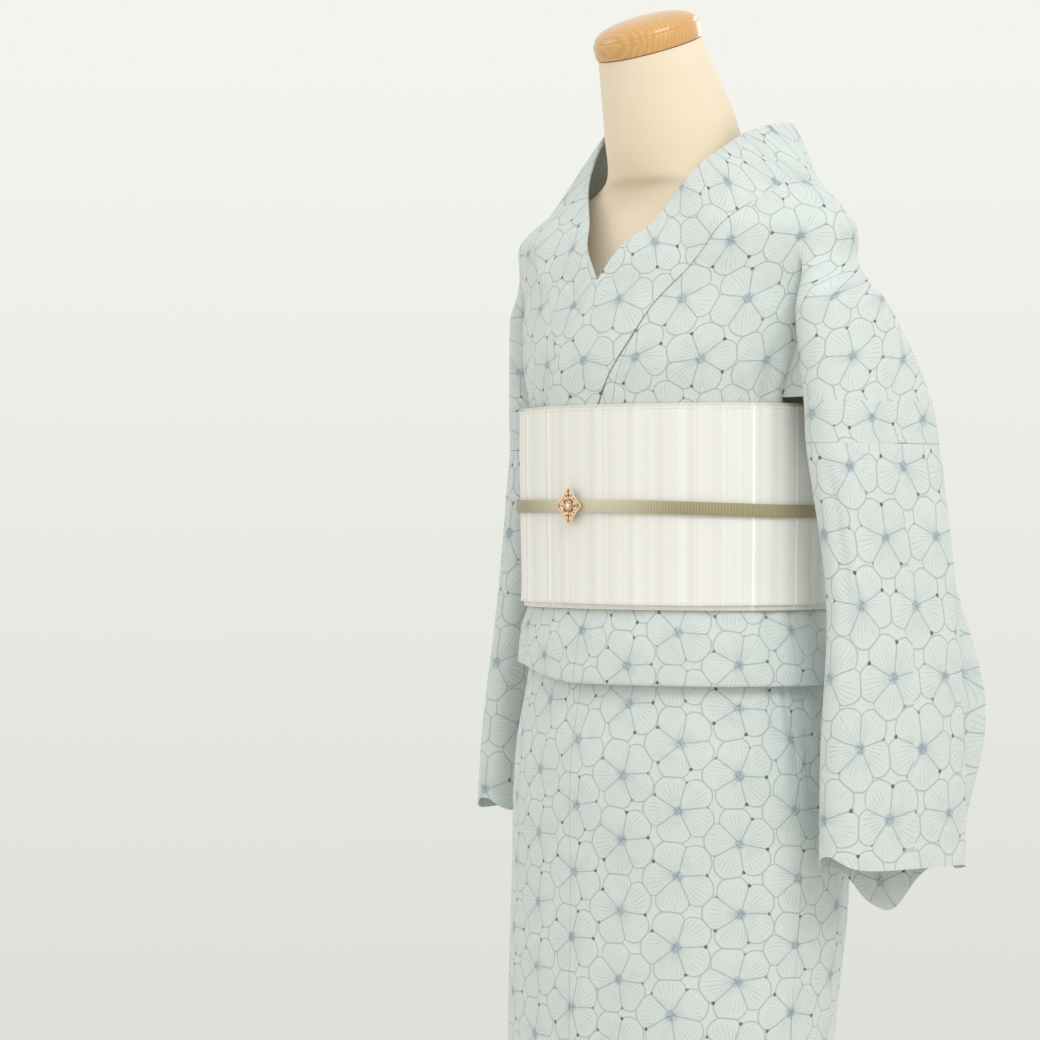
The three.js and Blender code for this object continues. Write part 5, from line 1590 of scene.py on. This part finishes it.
def paint(name, description, value):
    """A colour property whose default is given as an sRGB hex value."""
    return bpy.props.FloatVectorProperty(
        name=name,
        description=description,
        default=colour(value),
        subtype="COLOR",
        size=4,
        min=0.0,
        max=1.0,
    )


class KimonoLook(bpy.types.PropertyGroup):
    """The colours and the sizes of the surface detail."""

    lace_light: paint("Lace, light", "The palest patches of the lace", "#d3d9d8")
    lace_ground: paint("Lace, ground", "The lace's main colour", "#cad1cf")
    lace_shadow: paint("Lace, threads", "The shaded side of the lace's threads", "#a3b1af")
    lace_line: paint("Lace, lines", "The corded outlines of the petals", "#7f8f98")
    lace_knot: paint("Lace, knots", "The knots in the middle of a flower", "#8698aa")
    # Painted shade: the dark seen through an eyelet, which is not cut open.
    lace_hole: paint("Lace, eyelets", "The dark of an open eyelet", "#34504f")
    sash_light: paint("Sash, light", "The sash's main colour", "#ecebe8")
    sash_shade: paint("Sash, stripes", "The sash's faint stripes", "#dfddd7")
    sash_edge: paint("Sash, edge", "The sash's turned hem", "#d6cfc0")
    cord_pale: paint("Cord, front", "The cord's pale front", "#d9d2b8")
    cord_khaki: paint("Cord, ends", "The cord's khaki ends", "#aba17f")
    gilt: paint("Clasp", "The clasp's gilt", "#f3d5b2")
    # The colour of the clasp's concave parts and of most of its back plate.
    gilt_dark: paint("Clasp, hollows", "The clasp's worn hollows", "#8d6238")
    form_light: paint("Form, light", "The dress form's jersey", "#e8dac8")
    form_shade: paint("Form, shade", "The jersey's darker patches", "#e0cdae")
    wood_light: paint("Wood, light", "The wood's light grain", "#d6a666")
    wood_dark: paint("Wood, dark", "The wood's dark grain", "#c08643")
    floor: paint("Floor", "The studio floor", "#eae8e4")
    stripe_width: bpy.props.FloatProperty(
        name="Stripe width",
        description="Width of the sash's bright stripes",
        default=0.0024,
        unit="LENGTH",
        min=0.0005
    )
    stitch_pitch: bpy.props.FloatProperty(
        name="Stitch pitch",
        description="From one hem stitch to the next",
        default=0.0042,
        unit="LENGTH",
        min=0.001
    )
    petal_turn: bpy.props.FloatProperty(
        name="Petal turn",
        description="How far the flowers on the body are turned",
        default=0.0,
        subtype="ANGLE"
    )


class KimonoStage(bpy.types.PropertyGroup):
    """The camera and the studio."""

    azimuth: bpy.props.FloatProperty(
        name="Azimuth",
        description="The camera's direction round the form",
        default=math.radians(47),
        subtype="ANGLE"
    )
    distance: bpy.props.FloatProperty(
        name="Distance", description="From the camera to the form's axis", default=2.6, unit="LENGTH"
    )
    height: bpy.props.FloatProperty(
        name="Height", description="The camera's height", default=1.072, unit="LENGTH"
    )
    lens: bpy.props.FloatProperty(name="Lens", description="Focal length in millimetres", default=112.5)
    key_power: bpy.props.FloatProperty(
        name="Key light", description="Power of the large soft light", default=42.0, unit="POWER"
    )


def carry(piece, slot, *nodes, body="root"):
    """The piece rides with the form and stands for its solids, which it hides. slot is not used."""
    if nodes:
        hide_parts(*nodes)
    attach(piece, body)
    return piece


def kept(name, make, *given):
    """A material that is made once and then shared."""
    return bpy.data.materials.get(name) or make(*given)


def lace_for(part, look):
    """The lace of one part of the kimono: the flowers stand differently on each."""
    turns = {
        "body": look.petal_turn,
        "skirt": math.radians(19),
        "sleeve": math.radians(-90),
        "collar": math.radians(90),
    }
    name = "embroidered_cotton_lace_" + part
    return kept(name, lace, name, turns[part], look, 1.152 if part == "sleeve" else 1.0)


class KIMONO_OT_body(bpy.types.Operator):
    """Makes both halves of the body: front, drop shoulder and back"""

    bl_idname = "kimono.body"
    bl_label = "Body"

    def execute(self, context):
        look = context.scene.kimono_look
        above, below = lace_for("body", look), lace_for("skirt", look)
        for side, word in ((1, "left"), (-1, "right")):
            piece = half_body(side, above, below)
            nodes = [f"front_{word}", f"front_{word}_shoulder", f"back_{word}", f"back_{word}_shoulder"]
            carry(piece, "lace", *nodes)
        return {"FINISHED"}


class KIMONO_OT_overlaps(bpy.types.Operator):
    """Makes the two overlap panels that widen the fronts"""

    bl_idname = "kimono.overlaps"
    bl_label = "Overlap panels"

    def execute(self, context):
        look = context.scene.kimono_look
        above, below = lace_for("body", look), lace_for("skirt", look)
        for side, word in ((1, "left"), (-1, "right")):
            piece = overlap(side, above, below)
            carry(piece, "lace", f"overlap_{word}")
        return {"FINISHED"}


class KIMONO_OT_collar(bpy.types.Operator):
    """Makes the collar band"""

    bl_idname = "kimono.collar"
    bl_label = "Collar"

    def execute(self, context):
        piece = collar_band(lace_for("collar", context.scene.kimono_look))
        carry(piece, "lace", "collar")
        return {"FINISHED"}


class KIMONO_OT_sleeves(bpy.types.Operator):
    """Makes the two sleeves"""

    bl_idname = "kimono.sleeves"
    bl_label = "Sleeves"

    def execute(self, context):
        material = lace_for("sleeve", context.scene.kimono_look)
        for side, word in ((1, "left"), (-1, "right")):
            piece = sleeve(side, material)
            carry(piece, "lace", f"sleeve_{word}")
        return {"FINISHED"}


class KIMONO_OT_sash(bpy.types.Operator):
    """Makes the sash: two wraps, the tail folded over the back, and the hem stitches"""

    bl_idname = "kimono.sash"
    bl_label = "Sash"

    def execute(self, context):
        look = context.scene.kimono_look
        material = kept("woven_silk_sash", sash_cloth, look)
        inner = belt_band("sash_inner", BELT_IN, BELT_LOW_Z - 3, BELT_TOP_Z + 1.5, BELT_WALL, material)
        carry(inner, "sash_cloth", "belt_inner_wrap")
        outer = belt_band(
            "sash_outer", BELT_OUT, BELT_LOW_Z + 1, BELT_TOP_Z - 1, BELT_WALL, material, wave=0.3
        )
        carry(outer, "sash_cloth", "belt_outer_wrap")
        tail = belt_tail(material)
        carry(tail, "sash_cloth", "belt_tail")
        turns = np.linspace(0, 2 * math.pi, 721)
        paths = []
        for height in (BELT_TOP_Z - 2.6, BELT_LOW_Z + 2.6):
            path = ring(WAIST, turns, np.full_like(turns, height), BELT_OUT + 0.12)
            paths.append(path)
        thread = stitches("sash_stitches", paths, material, look.stitch_pitch / MM)
        carry(thread, "sash_cloth")
        return {"FINISHED"}


class KIMONO_OT_cord(bpy.types.Operator):
    """Makes the flat cord and its knot at the back"""

    bl_idname = "kimono.cord"
    bl_label = "Cord"

    def execute(self, context):
        material = kept("braided_silk_cord", braided_cord, context.scene.kimono_look)
        carry(cord_band(material), "cord", "belt_cord")
        carry(cord_knot(material), "cord", "cord_knot")
        return {"FINISHED"}


class KIMONO_OT_clasp(bpy.types.Operator):
    """Makes the pierced lozenge clasp and its stone"""

    bl_idname = "kimono.clasp"
    bl_label = "Clasp"

    def execute(self, context):
        parts, (x, y, z), corners = clasp_parts()
        for u, v in corners:
            parts.append(bead((x + u * 0.98, y - 2.1, z + v * 0.98), CORNER_BEAD))
        metal = kept("gilt_cast_brass", gilt_brass, context.scene.kimono_look)
        carry(joined("clasp_metal", parts, metal), "gold", "clasp")
        ground = brass_ground(context.scene.kimono_look)
        carry(joined("clasp_plate", [clasp_plate((x, y, z), corners)], ground), "gold")
        stone = joined("clasp_stone", [bead((x, y - 2.9, z), STONE_RADIUS, STONE_FLATTEN, 20)], white_stone())
        carry(stone, "gold")
        return {"FINISHED"}


class KIMONO_OT_form(bpy.types.Operator):
    """Makes the dress form, its neck cap, pole and base"""

    bl_idname = "kimono.form"
    bl_label = "Dress form"

    def execute(self, context):
        look = context.scene.kimono_look
        body = loft("form_shape", form_rings(), form_jersey(look))
        carry(body, "form_cloth", "form_body")
        seat = (0, CAP_SEAT[1] - SEAM * math.sin(CAP_LEAN), CAP_SEAT[2] + SEAM * math.cos(CAP_LEAN))
        cap_wood = varnished_wood(look, ("cap", (0.01, 0.031, -1.45)))
        cap = lathe("neck_cap", dome_profile(), cap_wood, steps=128, tilt=CAP_LEAN, seat=seat)
        carry(cap, "wood", "form_cap")
        base_wood = varnished_wood(look, ("base", (0.0, 0.0, 0.0)))
        carry(lathe("round_base", base_profile(), base_wood, steps=160), "wood", "stand_base")
        pole_profile = [(0.5, BASE_HEIGHT + SEAM), (POLE_RADIUS, BASE_HEIGHT + SEAM)]
        pole_profile += [(POLE_RADIUS, z) for z in np.linspace(BASE_HEIGHT + 20, 749, 30)]
        pole_profile += [(POLE_RADIUS, 770 - SEAM), (0.5, 770 - SEAM)]
        carry(lathe("steel_pole", pole_profile, brushed_steel(), steps=64), "steel", "stand_pole")
        return {"FINISHED"}


class KIMONO_OT_stage(bpy.types.Operator):
    """Sets up the camera, the floor, the background and the studio lights"""

    bl_idname = "kimono.stage"
    bl_label = "Stage"

    def execute(self, context):
        scene, settings = context.scene, context.scene.kimono_stage
        sin, cos = math.sin(settings.azimuth), math.cos(settings.azimuth)
        camera = bpy.data.objects.new("camera", bpy.data.cameras.new("camera"))
        scene.collection.objects.link(camera)
        aside = -0.1256
        camera.location = (
            sin * settings.distance + cos * aside,
            -cos * settings.distance + sin * aside,
            settings.height,
        )
        camera.rotation_euler = Vector((-sin, cos, 0)).to_track_quat("-Z", "Y").to_euler()
        camera.data.lens = settings.lens
        camera.data.sensor_width = 36
        camera.data.clip_end = 20
        camera.data.dof.use_dof = False
        scene.camera = camera
        scene.view_settings.view_transform = "Standard"

        disc = bmesh.new()
        bmesh.ops.create_circle(disc, cap_ends=True, segments=96, radius=3.6)
        mesh = bpy.data.meshes.new("floor")
        disc.to_mesh(mesh)
        disc.free()
        floor = bpy.data.objects.new("floor", mesh)
        scene.collection.objects.link(floor)
        floor.data.materials.append(plain_floor(scene.kimono_look))

        # A pale backdrop, a little darker towards the floor.
        world = bpy.data.worlds.new("studio")
        scene.world = world
        world.use_nodes = True
        tree = world.node_tree
        way = add(tree, "ShaderNodeTexCoord", out="Generated")
        up = add(tree, "ShaderNodeSeparateXYZ", (way,), out=2)
        share = add(tree, "ShaderNodeMapRange", (up, 0.133, -0.142, 0.0, 1.0))
        tone = add(tree, MIX, {0: share, 6: colour("#f3f4ee"), 7: colour("#dfe0da")}, out=2, data_type="RGBA")
        tree.links.new(tone, tree.nodes["Background"].inputs["Color"])
        tree.nodes["Background"].inputs["Strength"].default_value = 1.0

        lights = [
            ("key", (2.3, -0.9, 3.1), 1.5, settings.key_power, "#ffffff"),
            ("fill", (-2.2, -1.8, 2.2), 1.6, settings.key_power * FILL_SHARE, "#fffdf8"),
            ("back", (-0.6, 2.8, 2.2), 1.4, settings.key_power * BACK_SHARE, "#ffffff"),
        ]
        for name, place, size, strength, tint in lights:
            light = bpy.data.lights.new(name, "AREA")
            light.energy = strength
            light.size = size
            light.color = colour(tint)[:3]
            lamp = bpy.data.objects.new(name, light)
            lamp.location = place
            facing = Vector((0, 0, LAMP_AIM_Z)) - Vector(place)
            lamp.rotation_euler = facing.to_track_quat("-Z", "Y").to_euler()
            scene.collection.objects.link(lamp)
        return {"FINISHED"}


class KIMONO_PT_panel(bpy.types.Panel):
    """The sidebar's list of the kimono's sizes, colours and steps"""

    bl_idname = "KIMONO_PT_panel"
    bl_label = "Kimono"
    bl_space_type = "VIEW_3D"
    bl_region_type = "UI"
    bl_category = "Kimono"

    def draw(self, context):
        for group in (context.scene.kimono_look, context.scene.kimono_stage):
            box = self.layout.box()
            for name in group.__annotations__:
                box.prop(group, name)
        for operator in OPERATORS:
            self.layout.operator(operator.bl_idname)


OPERATORS = (
    KIMONO_OT_stage,
    KIMONO_OT_form,
    KIMONO_OT_body,
    KIMONO_OT_overlaps,
    KIMONO_OT_collar,
    KIMONO_OT_sleeves,
    KIMONO_OT_sash,
    KIMONO_OT_cord,
    KIMONO_OT_clasp,
)
CLASSES = (KimonoLook, KimonoStage, *OPERATORS, KIMONO_PT_panel)


def register():
    for item in CLASSES:
        bpy.utils.register_class(item)
    bpy.types.Scene.kimono_look = bpy.props.PointerProperty(type=KimonoLook)
    bpy.types.Scene.kimono_stage = bpy.props.PointerProperty(type=KimonoStage)


def unregister():
    del bpy.types.Scene.kimono_stage
    del bpy.types.Scene.kimono_look
    for item in reversed(CLASSES):
        bpy.utils.unregister_class(item)


def main():
    register()
    for step in ("stage", "form", "body", "overlaps", "collar", "sleeves", "sash", "cord", "clasp"):
        getattr(bpy.ops.kimono, step)()


if __name__ == "__main__":
    main()
